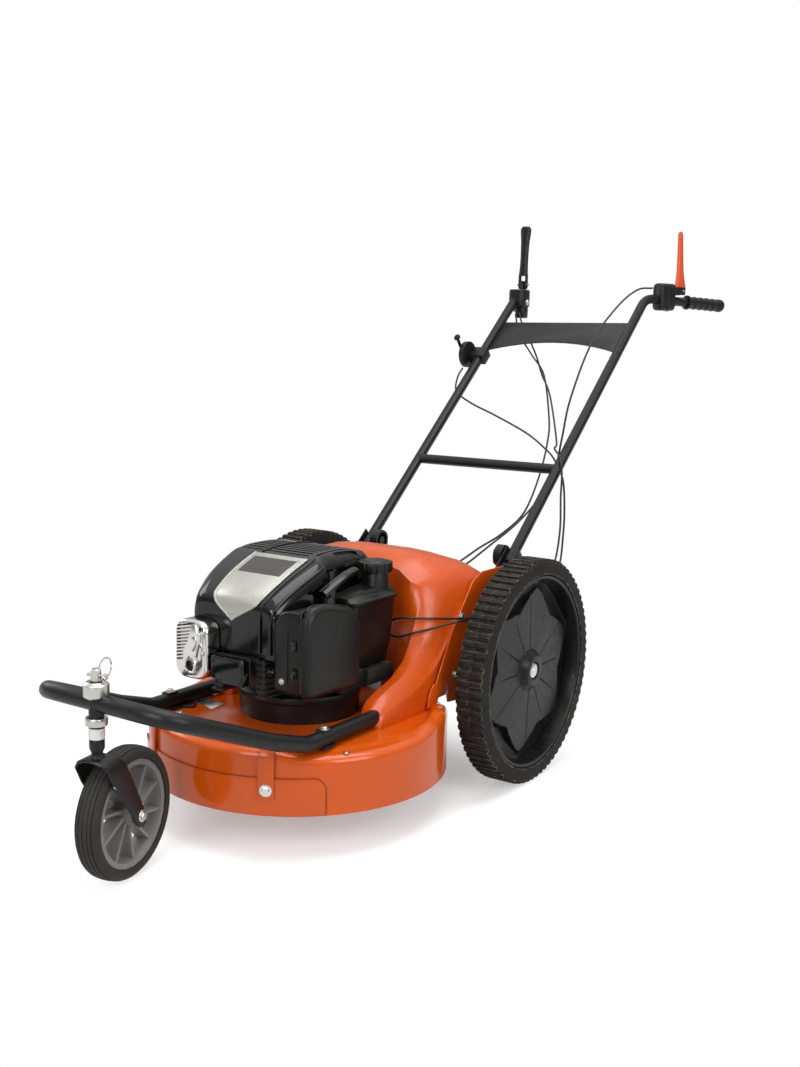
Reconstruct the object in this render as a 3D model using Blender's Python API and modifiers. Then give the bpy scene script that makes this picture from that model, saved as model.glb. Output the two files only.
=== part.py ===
"""A three-wheeled petrol mower for high grass, built as separate solids.

Metres, +Z up. The machine faces -Y, its left side is +X. Every piece is built in
the axle frame, whose origin lies on the ground under the rear axle, and is then
parented to the empty "mower", which moves the whole machine so that the world
origin lies under the middle of its footprint.
"""
import bmesh
import bpy
from math import atan2, cos, pi, radians, sin, sqrt, tan
from mathutils import Matrix, Vector

# Clearances
GAP = 0.0003
RUN = 0.0005
WELD = 0.00001

# Rear wheels and axle
WHEEL_R = 0.250
WHEEL_X = 0.309
TYRE_W = 0.064
LUGS = 76
LUG_H = 0.006
TYRE_DEPTH = 0.0355
RIM_R = WHEEL_R - TYRE_DEPTH
RIM_W = 0.060
RIM_LIP_W = 0.0085
RIM_LIP_R = RIM_R - RIM_LIP_W
RIM_HUB_R = 0.034
RIM_STEPS = 24
RIM_STAR_AT = 20.0
AXLE_R = 0.012
HUB_CAP_R = 0.0185

# Deck
DECK_Y = -0.413
DECK_R = 0.309
DECK_TOP = 0.203
SKIRT_LOW = 0.086
DECK_WALL = 0.003
DECK_STEPS = 40
DECK_ROLL = 0.009
DECK_RIM_W = 0.016
DECK_STEP_W = 0.012
STEP_OUT_R = DECK_R - DECK_ROLL - DECK_RIM_W
STEP_IN_R = STEP_OUT_R - DECK_STEP_W
CRANK_HOLE_R = 0.030

# Front skirt panel, as angles from the front of the deck
PANEL_HALF_ANGLE = 48.0
PANEL_TOP = 0.160
PANEL_LOW = 0.0885
PANEL_WALL = 0.003
STRAP_ANGLE = 27.6
STRAP_W = 0.031
STRAP_T = 0.004
STRAP_LOW = 0.120
BOLT_HEAD_R = 0.011

# Front frame
FRAME_R = 0.015
ARM_X = 0.200
ARM_Z = 0.222
ARM_REAR_Y = -0.250
LUG_Y = -0.589

# Caster
STEM_Y = -0.963
CROSS_Y = STEM_Y + 0.003
STEM_R = 0.010
CASTER_YAW = radians(11.5)
TRAIL = 0.075
CASTER_R = 0.120
CASTER_TYRE_W = 0.045
CASTER_TYRE_DEPTH = 0.022
CASTER_RIM_R = CASTER_R - CASTER_TYRE_DEPTH
CASTER_AXLE_R = 0.005
FORK_HALF = 0.036
FORK_T = 0.005
CROWN_Z = 2 * CASTER_R + 0.0055
COLLAR_Z = CROWN_Z + 0.0085
SPACER_Z = COLLAR_Z + 0.014
SLEEVE_Z = SPACER_Z + 0.025
CUP_Z = SLEEVE_Z + 0.057
CUP_TOP = CUP_Z + 0.029
STEM_TOP = CUP_TOP + 0.023
SLEEVE_R = 0.0165
PIN_Z = CUP_TOP + 0.010
PIN_R = 0.003
CROSS_Z = SLEEVE_Z + 0.042

# Crank, blade and belt drive
CRANK_R = 0.0125
CRANK_TOP = 0.470
CRANK_LOW = 0.1255
BELT_Z = 0.235
BELT_HALF = 0.003
ENGINE_PULLEY_R = 0.038
GEAR_PULLEY_R = 0.048
GEAR_PULLEY_Y = -0.090
GROOVE = 0.008
PULLEY_HALF = 0.009
BLADE_TIP_GAP = 0.021
BLADE_R = DECK_R - DECK_WALL - BLADE_TIP_GAP
BLADE_W = 0.060
BLADE_T = 0.004
BLADE_Z = 0.110

# Engine
ENGINE_Z = 0.2575
CASE_R = 0.080
CASE_TOP = 0.385
CYL_FRONT_Y = -0.590
CYL_HALF = 0.040
CYL_LOW = 0.288
CYL_TOP = 0.360
FIN_REACH = 0.078
FLYWHEEL_R = 0.078
FLYWHEEL_Z = 0.410
SHROUD_LOW = 0.365
SHROUD_LIP = 0.3535
SHELL_T = 0.0025
FILTER_X = 0.150
FILTER_FRONT_Y = -0.603
FILTER_REAR_Y = -0.434
TANK_X0 = 0.085
TANK_X1 = 0.148
TANK_Y0 = -0.430
TANK_Y1 = -0.274
NECK_X = 0.116
NECK_Y = -0.313
NECK_R = 0.028
CAP_R = 0.036
CAP_Z = 0.4925
FILLER_X = 0.118
FILLER_Y = -0.470
FILLER_TOP = 0.463

# Chassis
PLATE_X = 0.226
PLATE_T = 0.003
CROSS_BAR_Y = -0.1553
CROSS_BAR_W = 0.030
CROSS_BAR_LOW = 0.2475
CROSS_BAR_H = 0.025

# Handlebar, as a straight run up the slope from the fold pivot
BAR_R = 0.0125
BAR_X = 0.202
PIVOT_Y = 0.114
PIVOT_Z = 0.476
SLOPE = radians(41.4)
CROSSBAR_S = 0.286
BEND = Vector((BAR_X, 0.820, 1.100))
GRIP_END = Vector((0.330, 1.060, 1.089))
GRIP_R = 0.0165
GRIP_L = 0.130
GRIP_BORE_R = 0.0133
CHEEK_T = 0.003
CHEEK_HALF = 0.0133
PLATE_LOW_S = 0.720
PLATE_MID_S = 0.755
PLATE_TOP_S = 0.838
FOLD_BOLT_R = 0.004
KNOB_R = 0.0265
KNOB_W = 0.020
CABLE_R = 0.0025

FRONT_REACH = STEM_Y + TRAIL * cos(CASTER_YAW) - CASTER_R
REAR_REACH = GRIP_END.y + GRIP_R * 0.47
AXLE_Y = -(FRONT_REACH + REAR_REACH) / 2

for leftover in list(bpy.data.objects):
    bpy.data.objects.remove(leftover, do_unlink=True)

PARTS = bpy.data.collections.new("lawn_mower")
bpy.context.scene.collection.children.link(PARTS)
MOWER = bpy.data.objects.new("mower", None)
MOWER.location = (0.0, AXLE_Y, 0.0)
PARTS.objects.link(MOWER)


def material(name, colour, roughness, metallic=0.0):
    made = bpy.data.materials.new(name)
    made.use_nodes = True
    shader = made.node_tree.nodes["Principled BSDF"]
    shader.inputs["Base Color"].default_value = (*colour, 1.0)
    shader.inputs["Roughness"].default_value = roughness
    shader.inputs["Metallic"].default_value = metallic
    return made


ORANGE = material("orange_paint", (0.72, 0.10, 0.010), 0.28)
BLACK_STEEL = material("black_powder_coat", (0.016, 0.017, 0.019), 0.42)
BLACK_PLASTIC = material("black_plastic", (0.018, 0.018, 0.020), 0.50)
GLOSS_PLASTIC = material("gloss_black_plastic", (0.012, 0.012, 0.014), 0.20)
GREY_PLASTIC = material("grey_plastic", (0.13, 0.14, 0.15), 0.50)
WHITE_PLASTIC = material("white_plastic", (0.80, 0.80, 0.78), 0.45)
SILVER_PLASTIC = material("silver_plastic", (0.55, 0.56, 0.55), 0.35, 0.3)
RUBBER = material("tyre_rubber", (0.020, 0.019, 0.017), 0.80)
ZINC = material("zinc", (0.62, 0.61, 0.58), 0.35, 0.9)
CHROME = material("bright_steel", (0.75, 0.74, 0.71), 0.18, 1.0)
CAST = material("cast_aluminium", (0.42, 0.42, 0.42), 0.50, 0.8)
STEEL = material("steel", (0.45, 0.45, 0.46), 0.35, 1.0)
LEVER_ORANGE = material("orange_plastic", (0.85, 0.14, 0.02), 0.40)
FOAM = material("filter_foam", (0.08, 0.08, 0.07), 0.90)


def placed(mesh, name="piece"):
    """A mesh as an object at the world origin."""
    obj = bpy.data.objects.new(name, mesh)
    PARTS.objects.link(obj)
    return obj


def baked(obj):
    """The object as a plain welded mesh in world coordinates, with its modifiers applied."""
    bpy.context.view_layer.update()
    graph = bpy.context.evaluated_depsgraph_get()
    mesh = bpy.data.meshes.new_from_object(obj.evaluated_get(graph))
    mesh.transform(obj.matrix_world)
    bm = bmesh.new()
    bm.from_mesh(mesh)
    bmesh.ops.remove_doubles(bm, verts=bm.verts, dist=WELD)
    bm.to_mesh(mesh)
    bm.free()
    bpy.data.objects.remove(obj, do_unlink=True)
    return placed(mesh)


def combined(base, others, operation):
    for other in others:
        modifier = base.modifiers.new(operation.lower(), "BOOLEAN")
        modifier.operation = operation
        modifier.object = other
    result = baked(base)
    for other in others:
        bpy.data.objects.remove(other, do_unlink=True)
    return result


def joined(base, *others):
    return combined(base, others, "UNION")


def cut(base, *cutters):
    return combined(base, cutters, "DIFFERENCE")


def moved(obj, matrix):
    obj.data.transform(matrix)
    return obj


def mirrored(obj):
    """A copy reflected in the machine's middle plane, with its faces turned back out."""
    mesh = obj.data.copy()
    mesh.transform(Matrix.Diagonal((-1.0, 1.0, 1.0, 1.0)))
    mesh.flip_normals()
    return placed(mesh)


def finished(obj, name, finish, origin=(0.0, 0.0, 0.0), sharp=35.0):
    """Name a piece, give it its material and its origin, and hang it on the mower."""
    origin = Vector(origin)
    obj.name = name
    obj.data.name = name
    obj.data.transform(Matrix.Translation(-origin))
    obj.location = origin
    obj.data.materials.clear()
    obj.data.materials.append(finish)
    obj.data.shade_smooth()
    obj.data.set_sharp_from_angle(angle=radians(sharp))
    obj.parent = MOWER
    return obj


def mesh_of(bm, name="piece"):
    mesh = bpy.data.meshes.new(name)
    bm.to_mesh(mesh)
    bm.free()
    return placed(mesh)


def box(size, centre, round_edge=0.0, turn=None):
    bm = bmesh.new()
    bmesh.ops.create_cube(bm, size=1.0, matrix=Matrix.Diagonal((*size, 1.0)))
    if round_edge > 0.0:
        bmesh.ops.bevel(bm, geom=list(bm.edges), offset=round_edge, segments=1, affect="EDGES")
    matrix = Matrix.Translation(centre)
    if turn is not None:
        matrix = matrix @ turn.to_4x4()
    bmesh.ops.transform(bm, matrix=matrix, verts=bm.verts)
    return mesh_of(bm)


def between(low, high, round_edge=0.0):
    """A box from its lowest to its highest corner."""
    low, high = Vector(low), Vector(high)
    return box(high - low, (low + high) / 2, round_edge)


def aimed(start, direction):
    """The matrix that takes the origin to start and +Z to direction."""
    turn = Vector(direction).to_track_quat("Z", "Y").to_matrix().to_4x4()
    return Matrix.Translation(start) @ turn


def rod(radius, start, end, sides=12, end_radius=None):
    start, end = Vector(start), Vector(end)
    length = (end - start).length
    bm = bmesh.new()
    bmesh.ops.create_cone(bm, cap_ends=True, segments=sides, radius1=radius,
                          radius2=radius if end_radius is None else end_radius, depth=length)
    bmesh.ops.transform(bm, matrix=aimed((start + end) / 2, end - start), verts=bm.verts)
    return mesh_of(bm)


def turned(profile, start=(0.0, 0.0, 0.0), direction=(0.0, 0.0, 1.0), steps=32, ring=False):
    """Turn a profile of (radius, height) about the line from start along direction.

    The profile runs down its outer side. A ring's profile closes on itself.
    """
    bm = bmesh.new()
    points = [bm.verts.new((radius, 0.0, height)) for radius, height in profile]
    pairs = list(zip(points, points[1:]))
    if ring:
        pairs.append((points[-1], points[0]))
    for first, second in pairs:
        bm.edges.new((first, second))
    obj = mesh_of(bm)
    screw = obj.modifiers.new("turn", "SCREW")
    screw.steps = steps
    screw.render_steps = steps
    screw.use_merge_vertices = True
    screw.merge_threshold = WELD
    obj.matrix_world = aimed(start, direction)
    return baked(obj)


def smooth_path(points, per_span):
    """Points on one smooth curve through the given ones."""
    points = [Vector(point) for point in points]
    ends = [points[0] * 2 - points[1], *points, points[-1] * 2 - points[-2]]
    path = []
    for a, b, c, d in zip(ends, ends[1:], ends[2:], ends[3:]):
        for step in range(per_span):
            t = step / per_span
            path.append(((b * 2) + (c - a) * t + (a * 2 - b * 5 + c * 4 - d) * t * t
                         + (b * 3 - a - c * 3 + d) * t ** 3) / 2)
    path.append(points[-1])
    return path


def filleted(points, radius, steps=4):
    """A polyline with each inner corner rounded off by a curve of about the given radius."""
    points = [Vector(point) for point in points]
    path = [points[0]]
    for before, corner, after in zip(points, points[1:], points[2:]):
        back = (before - corner).normalized()
        ahead = (after - corner).normalized()
        half = back.angle(ahead) / 2
        reach = min(radius / tan(half), 0.45 * (before - corner).length, 0.45 * (after - corner).length)
        start, end = corner + back * reach, corner + ahead * reach
        for step in range(steps + 1):
            t = step / steps
            path.append(start * (1 - t) ** 2 + corner * 2 * t * (1 - t) + end * t * t)
    path.append(points[-1])
    return path


def tube(points, radius, resolution=3):
    curve = bpy.data.curves.new("tube", "CURVE")
    curve.dimensions = "3D"
    curve.bevel_depth = radius
    curve.bevel_resolution = resolution
    curve.use_fill_caps = True
    spline = curve.splines.new("POLY")
    spline.points.add(len(points) - 1)
    for slot, point in zip(spline.points, points):
        slot.co = (*point, 1.0)
    obj = bpy.data.objects.new("tube", curve)
    PARTS.objects.link(obj)
    return baked(obj)


def plate(outlines, thickness, matrix):
    """A flat plate from closed outlines in its own plane; inner outlines are holes."""
    curve = bpy.data.curves.new("plate", "CURVE")
    curve.dimensions = "2D"
    curve.fill_mode = "BOTH"
    curve.extrude = thickness / 2
    for outline in outlines:
        spline = curve.splines.new("POLY")
        spline.points.add(len(outline) - 1)
        spline.use_cyclic_u = True
        for slot, (x, y) in zip(spline.points, outline):
            slot.co = (x, y, 0.0, 1.0)
    obj = bpy.data.objects.new("plate", curve)
    PARTS.objects.link(obj)
    obj.matrix_world = matrix
    return baked(obj)


def circle(radius, centre=(0.0, 0.0), steps=24):
    return [(centre[0] + radius * cos(2 * pi * i / steps), centre[1] + radius * sin(2 * pi * i / steps))
            for i in range(steps)]


def lofted(sections, closed=False):
    """A skin over sections with equal numbers of points, each a closed loop.

    Open lofts get flat ends; closed ones join the last section to the first.
    """
    bm = bmesh.new()
    rings = [[bm.verts.new(point) for point in section] for section in sections]
    count = len(rings[0])
    pairs = list(zip(rings, rings[1:]))
    if closed:
        pairs.append((rings[-1], rings[0]))
    else:
        bm.faces.new(rings[0][::-1])
        bm.faces.new(rings[-1])
    for first, second in pairs:
        for i in range(count):
            j = (i + 1) % count
            bm.faces.new((first[i], first[j], second[j], second[i]))
    bmesh.ops.recalc_face_normals(bm, faces=bm.faces)
    return mesh_of(bm)


def sheet(rows, thickness):
    """A sheet through rows of equal numbers of points, thickened to its inner side."""
    bm = bmesh.new()
    grid = [[bm.verts.new(point) for point in row] for row in rows]
    for first, second in zip(grid, grid[1:]):
        for i in range(len(first) - 1):
            bm.faces.new((first[i], first[i + 1], second[i + 1], second[i]))
    bmesh.ops.remove_doubles(bm, verts=bm.verts, dist=WELD)
    bmesh.ops.dissolve_degenerate(bm, edges=bm.edges, dist=WELD)
    obj = mesh_of(bm)
    solidify = obj.modifiers.new("wall", "SOLIDIFY")
    solidify.thickness = thickness
    solidify.offset = -1.0
    solidify.use_even_offset = True
    return baked(obj)


def side_plane(x):
    """The matrix of a plate that stands in the YZ plane at x, drawn in (y, z)."""
    turn = Matrix(((0.0, 0.0, 1.0), (1.0, 0.0, 0.0), (0.0, 1.0, 0.0)))
    return Matrix.Translation((x, 0.0, 0.0)) @ turn.to_4x4()


def along(values, where):
    """The value at a place in a list of (place, value), straight between its entries."""
    if where <= values[0][0]:
        return values[0][1]
    for (a, low), (b, high) in zip(values, values[1:]):
        if where <= b:
            return low + (high - low) * (where - a) / (b - a)
    return values[-1][1]


# The deck's raised rim, as its top height by the angle from the front
RIM_TOP = [(0, 0.213), (28, 0.213), (40, 0.199), (72, 0.199), (90, 0.214), (103, 0.230),
           (118, 0.238), (135, 0.232), (150, DECK_TOP), (180, DECK_TOP)]


def rim_top(angle):
    return along(RIM_TOP, abs(angle))


def deck_height(x, y):
    """The height of the deck's upper face at a place in plan."""
    dx, dy = x, y - DECK_Y
    r = sqrt(dx * dx + dy * dy)
    top = rim_top(abs(atan2(dx, -dy)) * 180 / pi)
    return along([(STEP_IN_R, DECK_TOP), (STEP_OUT_R, top)], r)


def on_deck(r, angle, z):
    """A point at a radius and an angle from the front of the deck, left side positive."""
    a = radians(angle)
    return Vector((r * sin(a), DECK_Y - r * cos(a), z))


def deck_pan():
    stations = []
    for step in range(DECK_STEPS):
        angle = step * 360.0 / DECK_STEPS - 180.0
        top = rim_top(angle)
        outer = [(CRANK_HOLE_R, DECK_TOP), (STEP_IN_R, DECK_TOP), (STEP_OUT_R, top), (DECK_R - DECK_ROLL, top - 0.001),
                 (DECK_R, top - 0.012), (DECK_R, SKIRT_LOW)]
        inner = [(r - DECK_WALL * (r > STEP_OUT_R), z - DECK_WALL) for r, z in outer[:-1]]
        section = outer + [(DECK_R - DECK_WALL, SKIRT_LOW)] + inner[::-1]
        stations.append([on_deck(r, angle, z) for r, z in section])
    pan = lofted(stations, closed=True)
    mouth = between((-0.190, DECK_Y + 0.200, SKIRT_LOW - 0.02), (0.190, DECK_Y + DECK_R + 0.02, 0.172))
    return finished(cut(pan, mouth), "deck_pan", ORANGE)


def bent_strap(angle):
    """A flat strap from the deck's rim, over its shoulder and down over the skirt panel."""
    top = rim_top(0)
    skin = DECK_R + PANEL_WALL - GAP
    path = [(STEP_OUT_R + 0.004, top + 2 * GAP), (DECK_R - 0.006, top + 2 * GAP), (skin, top - 0.010),
            (skin, STRAP_LOW)]
    outer = [(STEP_OUT_R + 0.004, path[0][1] + STRAP_T), (DECK_R - 0.004, path[0][1] + STRAP_T),
             (skin + STRAP_T, top - 0.008), (skin + STRAP_T, STRAP_LOW)]
    outline = path + outer[::-1]
    a = radians(angle)
    across = Matrix(((sin(a), 0.0, cos(a)), (-cos(a), 0.0, sin(a)), (0.0, 1.0, 0.0)))
    strap = plate([outline], STRAP_W, Matrix.Translation((0.0, DECK_Y, 0.0)) @ across.to_4x4())
    out = Vector((sin(a), -cos(a), 0.0))
    seat = on_deck(skin + STRAP_T / 2, angle, 0.138)
    head = turned([(0.0, 0.009), (0.006, 0.008), (BOLT_HEAD_R, 0.004), (BOLT_HEAD_R, 0.0), (0.0, 0.0)],
                  seat, out, 16)
    return joined(strap, head)


def front_skirt_panel():
    inner, outer = DECK_R + GAP, DECK_R + GAP + PANEL_WALL
    stations = []
    corner = [(0.0, 0.144), (1.5, 0.154), (4.0, PANEL_TOP)]
    steps = 20
    for step in range(steps + 1):
        angle = PANEL_HALF_ANGLE * (2 * step / steps - 1)
        high = along(corner, PANEL_HALF_ANGLE - abs(angle))
        stations.append([on_deck(inner, angle, PANEL_LOW), on_deck(outer, angle, PANEL_LOW),
                         on_deck(outer, angle, high), on_deck(inner, angle, high)])
    panel = joined(lofted(stations), bent_strap(STRAP_ANGLE), bent_strap(-STRAP_ANGLE))
    return finished(panel, "front_skirt_panel", ORANGE)


def engine_mount_ring():
    low, high = DECK_TOP + GAP, ENGINE_Z - GAP
    profile = [(0.1265, high), (0.128, high - 0.0015), (0.128, high - 0.012), (0.1245, high - 0.016),
               (0.1245, low), (0.095, low), (0.095, high)]
    ring = turned(profile, (0.0, DECK_Y, 0.0), steps=28, ring=True)
    belt_gate = between((-0.072, DECK_Y, low - 0.01), (0.072, DECK_Y + 0.20, high - 0.006))
    return finished(cut(ring, belt_gate), "engine_mount_ring", BLACK_PLASTIC)


def front_frame():
    half = [(ARM_X, ARM_REAR_Y, ARM_Z), (ARM_X, -0.640, ARM_Z), (ARM_X - 0.006, -0.720, 0.246),
            (0.150, CROSS_Y, CROSS_Z)]
    path = half + [(-x, y, z) for x, y, z in reversed(half)]
    frame = tube(filleted(path, 0.055, 2), FRAME_R)
    sleeve = rod(SLEEVE_R, (0.0, STEM_Y, SLEEVE_Z), (0.0, STEM_Y, CUP_Z), 16)
    extras = [sleeve]
    for side in (-1, 1):
        foot = deck_height(side * (ARM_X + 0.008), LUG_Y)
        extras.append(between((side * ARM_X - 0.003, LUG_Y - 0.016, foot + GAP),
                              (side * ARM_X + 0.003, LUG_Y + 0.016, ARM_Z)))
        extras.append(between((side * ARM_X - 0.016, LUG_Y - 0.016, foot + GAP),
                              (side * ARM_X + 0.016, LUG_Y + 0.016, foot + GAP + 0.004)))
        extras.append(rod(0.007, (side * ARM_X, LUG_Y, ARM_Z + 0.010), (side * ARM_X, LUG_Y, ARM_Z + 0.020), 12))
    frame = joined(frame, *extras)
    bore = rod(STEM_R + RUN, (0.0, STEM_Y, SLEEVE_Z - 0.02), (0.0, STEM_Y, CUP_Z + 0.02), 16)
    return finished(cut(frame, bore), "front_frame", BLACK_STEEL)


def caster():
    """The caster, drawn with its stem on the Z axis and its wheel behind it, then set at its yaw."""
    set_at = Matrix.Translation((0.0, STEM_Y, 0.0)) @ Matrix.Rotation(CASTER_YAW, 4, "Z")
    stem_at = Vector((0.0, STEM_Y, 0.0))
    wheel_at = set_at @ Vector((0.0, TRAIL, CASTER_R))

    fork = turned([(0.0, STEM_TOP), (0.007, STEM_TOP), (STEM_R, STEM_TOP - 0.004), (STEM_R, SPACER_Z - GAP),
                   (0.022, SPACER_Z - GAP), (0.022, COLLAR_Z), (0.016, COLLAR_Z), (0.016, CROWN_Z - 0.003),
                   (0.0, CROWN_Z - 0.003)], steps=16)
    crown = between((-FORK_HALF, -0.0225, CROWN_Z - 0.0075), (FORK_HALF, 0.0225, CROWN_Z), 0.002)
    tip = [(TRAIL + 0.017 * cos(a), CASTER_R + 0.017 * sin(a)) for a in
           [radians(-140 + 35 * i) for i in range(6)]]
    leg = [(-0.020, CROWN_Z - 0.001), (-0.020, CROWN_Z - 0.020)] + tip + [(0.020, CROWN_Z - 0.001)]
    legs = [plate([leg], FORK_T, side_plane(side * FORK_HALF)) for side in (-1, 1)]
    fork = joined(fork, crown, *legs)
    axle_hole = rod(CASTER_AXLE_R + GAP, (-0.06, TRAIL, CASTER_R), (0.06, TRAIL, CASTER_R), 16)
    pin_hole = rod(PIN_R + GAP, (-0.03, 0.0, PIN_Z), (0.03, 0.0, PIN_Z), 12)
    fork = cut(fork, axle_hole, pin_hole)
    finished(moved(fork, set_at), "caster_fork", BLACK_STEEL, stem_at)

    spacer = turned([(0.020, SLEEVE_Z - GAP), (0.020, SPACER_Z), (STEM_R + RUN, SPACER_Z),
                     (STEM_R + RUN, SLEEVE_Z - GAP)], steps=20, ring=True)
    finished(moved(spacer, set_at), "height_spacer", WHITE_PLASTIC, stem_at)

    cup = turned([(0.0165, CUP_TOP), (0.0225, CUP_TOP - 0.005), (0.0225, CUP_Z + 0.004), (0.0185, CUP_Z + GAP),
                  (STEM_R + RUN, CUP_Z + GAP), (STEM_R + RUN, CUP_TOP - 0.006), (0.0145, CUP_TOP - 0.006),
                  (0.0155, CUP_TOP)], steps=18, ring=True)
    finished(moved(cup, Matrix.Translation(stem_at)), "bearing_cup", ZINC, stem_at)

    pin = rod(PIN_R, (-0.017, 0.0, PIN_Z), (0.019, 0.0, PIN_Z), 12)
    head = rod(0.0055, (0.017, 0.0, PIN_Z), (0.022, 0.0, PIN_Z), 12)
    ring_r = 0.017
    bow = [(0.0195, ring_r * sin(a), PIN_Z + ring_r * (1 - cos(a)) - 0.001)
           for a in [0.25 + (2 * pi - 0.5) * i / 12 for i in range(13)]]
    wire = tube([Vector(point) for point in bow], 0.0014, 1)
    pin = joined(pin, head, wire)
    finished(moved(pin, set_at), "linch_pin", CHROME, stem_at + Vector((0.0, 0.0, PIN_Z)))

    bolt = turned([(0.0, 0.0), (0.004, 0.0), (0.008, -0.003), (0.008, -0.006), (CASTER_AXLE_R, -0.006),
                   (CASTER_AXLE_R, -0.084), (0.0085, -0.084), (0.0085, -0.091), (0.0, -0.091)],
                  (FORK_HALF + FORK_T / 2 + 0.0063, TRAIL, CASTER_R), (1.0, 0.0, 0.0), 12)
    finished(moved(bolt, set_at), "caster_axle_bolt", ZINC, wheel_at)

    half_w = CASTER_TYRE_W / 2
    rim_out = CASTER_RIM_R
    rim = turned([(rim_out, half_w - 0.003), (rim_out, -half_w + 0.003), (rim_out - 0.010, -half_w + 0.003),
                  (rim_out - 0.014, 0.0), (rim_out - 0.010, half_w - 0.003)],
                 (0.0, 0.0, 0.0), (1.0, 0.0, 0.0), 24, ring=True)
    hub = turned([(0.021, 0.029), (0.021, -0.029), (CASTER_AXLE_R + RUN, -0.029), (CASTER_AXLE_R + RUN, 0.029)],
                 (0.0, 0.0, 0.0), (1.0, 0.0, 0.0), 14, ring=True)
    spokes = []
    for i in range(10):
        a = 2 * pi * i / 10
        lean = a + radians(22)
        root = Vector((0.0, 0.017 * cos(a), 0.017 * sin(a)))
        end = Vector((0.0, (rim_out - 0.010) * cos(lean), (rim_out - 0.010) * sin(lean)))
        run = end - root
        turn = run.to_track_quat("Z", "X").to_matrix()
        spokes.append(box((0.005, 0.030, run.length + 0.004), (root + end) / 2, 0.0, turn))
    rim = joined(rim, hub, *spokes)
    at_wheel = set_at @ Matrix.Translation((0.0, TRAIL, CASTER_R))
    finished(moved(rim, at_wheel), "caster_rim", GREY_PLASTIC, wheel_at)

    seat = CASTER_RIM_R + GAP + 0.0005
    crown_r = CASTER_R
    tyre = turned([(seat, half_w), (crown_r - 0.009, half_w + 0.001), (crown_r, half_w - 0.011),
                   (crown_r, -half_w + 0.011),
                   (crown_r - 0.009, -half_w - 0.001), (seat, -half_w)],
                  (0.0, 0.0, 0.0), (1.0, 0.0, 0.0), 32, ring=True)
    finished(moved(tyre, at_wheel), "caster_tyre", RUBBER, wheel_at)


def lug_profile():
    """Angles and radii round the tyre, three to a lug, with a lug's flat top straight down."""
    pitch = 2 * pi / LUGS
    rise = [(-0.5, -LUG_H), (-0.28, 0.0), (0.28, 0.0)]
    return [(-pi / 2 + pitch * (i + share), WHEEL_R + height) for i in range(LUGS) for share, height in rise]


# The rim's face as (depth below RIM_R, x) of its star's edge, of the pocket's foot and of the wall's
# foot: at an arm of the star, halfway, and in a pocket
RIM_STAR = [((0.0300, 0.0060), (0.0255, 0.0040), (0.0175, 0.0020)),
            ((0.0560, 0.0075), (0.0490, -0.0070), (0.0180, -0.0085)),
            ((0.0740, 0.0085), (0.0650, -0.0085), (0.0180, -0.0100))]


def rim_section(star):
    """The closed section of a wheel rim as (radius, x), from its outer edge over the back to the face."""
    deep = RIM_W / 2
    face = [(RIM_R - depth, x) for depth, x in star]
    return [(RIM_R, deep), (RIM_R, -deep), (RIM_R - 0.006, -deep), (RIM_R - 0.0185, -0.0145),
            (RIM_R - 0.0640, -0.0135), (RIM_HUB_R + 0.026, 0.004), (RIM_HUB_R, 0.002), (RIM_HUB_R, -deep),
            (AXLE_R + RUN, -deep), (AXLE_R + RUN, 0.0125), (HUB_CAP_R + RUN, 0.0125),
            (HUB_CAP_R + RUN, 0.0235), (RIM_HUB_R, 0.0225), *face, (RIM_LIP_R - 0.0015, 0.022),
            (RIM_LIP_R, deep)]


def rear_wheel(side, name):
    centre = Vector((side * WHEEL_X, 0.0, WHEEL_R))
    half = TYRE_W / 2
    bead = RIM_R + 2 * GAP
    sections = []
    for angle, r in lug_profile():
        shape = [(half, bead), (half - 0.003, r), (-half + 0.003, r), (-half, bead)]
        sections.append([Vector((x, radius * cos(angle), radius * sin(angle))) for x, radius in shape])
    tyre = moved(lofted(sections, closed=True), Matrix.Translation(centre))
    finished(tyre, f"rear_tyre_{name}", RUBBER, centre)

    out = Vector((side, 0.0, 0.0))
    sections = []
    for i in range(RIM_STEPS):
        angle = radians(RIM_STAR_AT) + 2 * pi * i / RIM_STEPS
        arm = i % (RIM_STEPS // 6)
        shape = rim_section(RIM_STAR[min(arm, RIM_STEPS // 6 - arm)])
        sections.append([Vector((side * x, r * cos(angle), r * sin(angle))) for r, x in shape])
    rim = moved(lofted(sections, closed=True), Matrix.Translation(centre))
    finished(rim, f"rear_rim_{name}", BLACK_PLASTIC, centre)

    cap = turned([(0.0, 0.0235), (0.010, 0.0225), (HUB_CAP_R - 0.002, 0.019), (HUB_CAP_R, 0.016),
                  (HUB_CAP_R, 0.0125 + GAP), (0.0, 0.0125 + GAP)], centre, out, 16)
    finished(cap, f"hub_cap_{name}", CHROME, centre)


def wheel_axle():
    reach = WHEEL_X + 0.0125 - GAP
    axle = rod(AXLE_R, (-reach, 0.0, WHEEL_R), (reach, 0.0, WHEEL_R), 16)
    return finished(axle, "wheel_axle", STEEL, (0.0, 0.0, WHEEL_R))


def v_pulley(radius, shaft):
    """A turned pulley about Z at the belt's height; shaft lists the profile above and below it."""
    above, below = shaft
    groove = [(radius, BELT_Z + PULLEY_HALF), (radius, BELT_Z + 0.008), (radius - GROOVE, BELT_Z + 0.0035),
              (radius - GROOVE, BELT_Z - 0.0035), (radius, BELT_Z - 0.008), (radius, BELT_Z - PULLEY_HALF)]
    return above + groove + below


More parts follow.
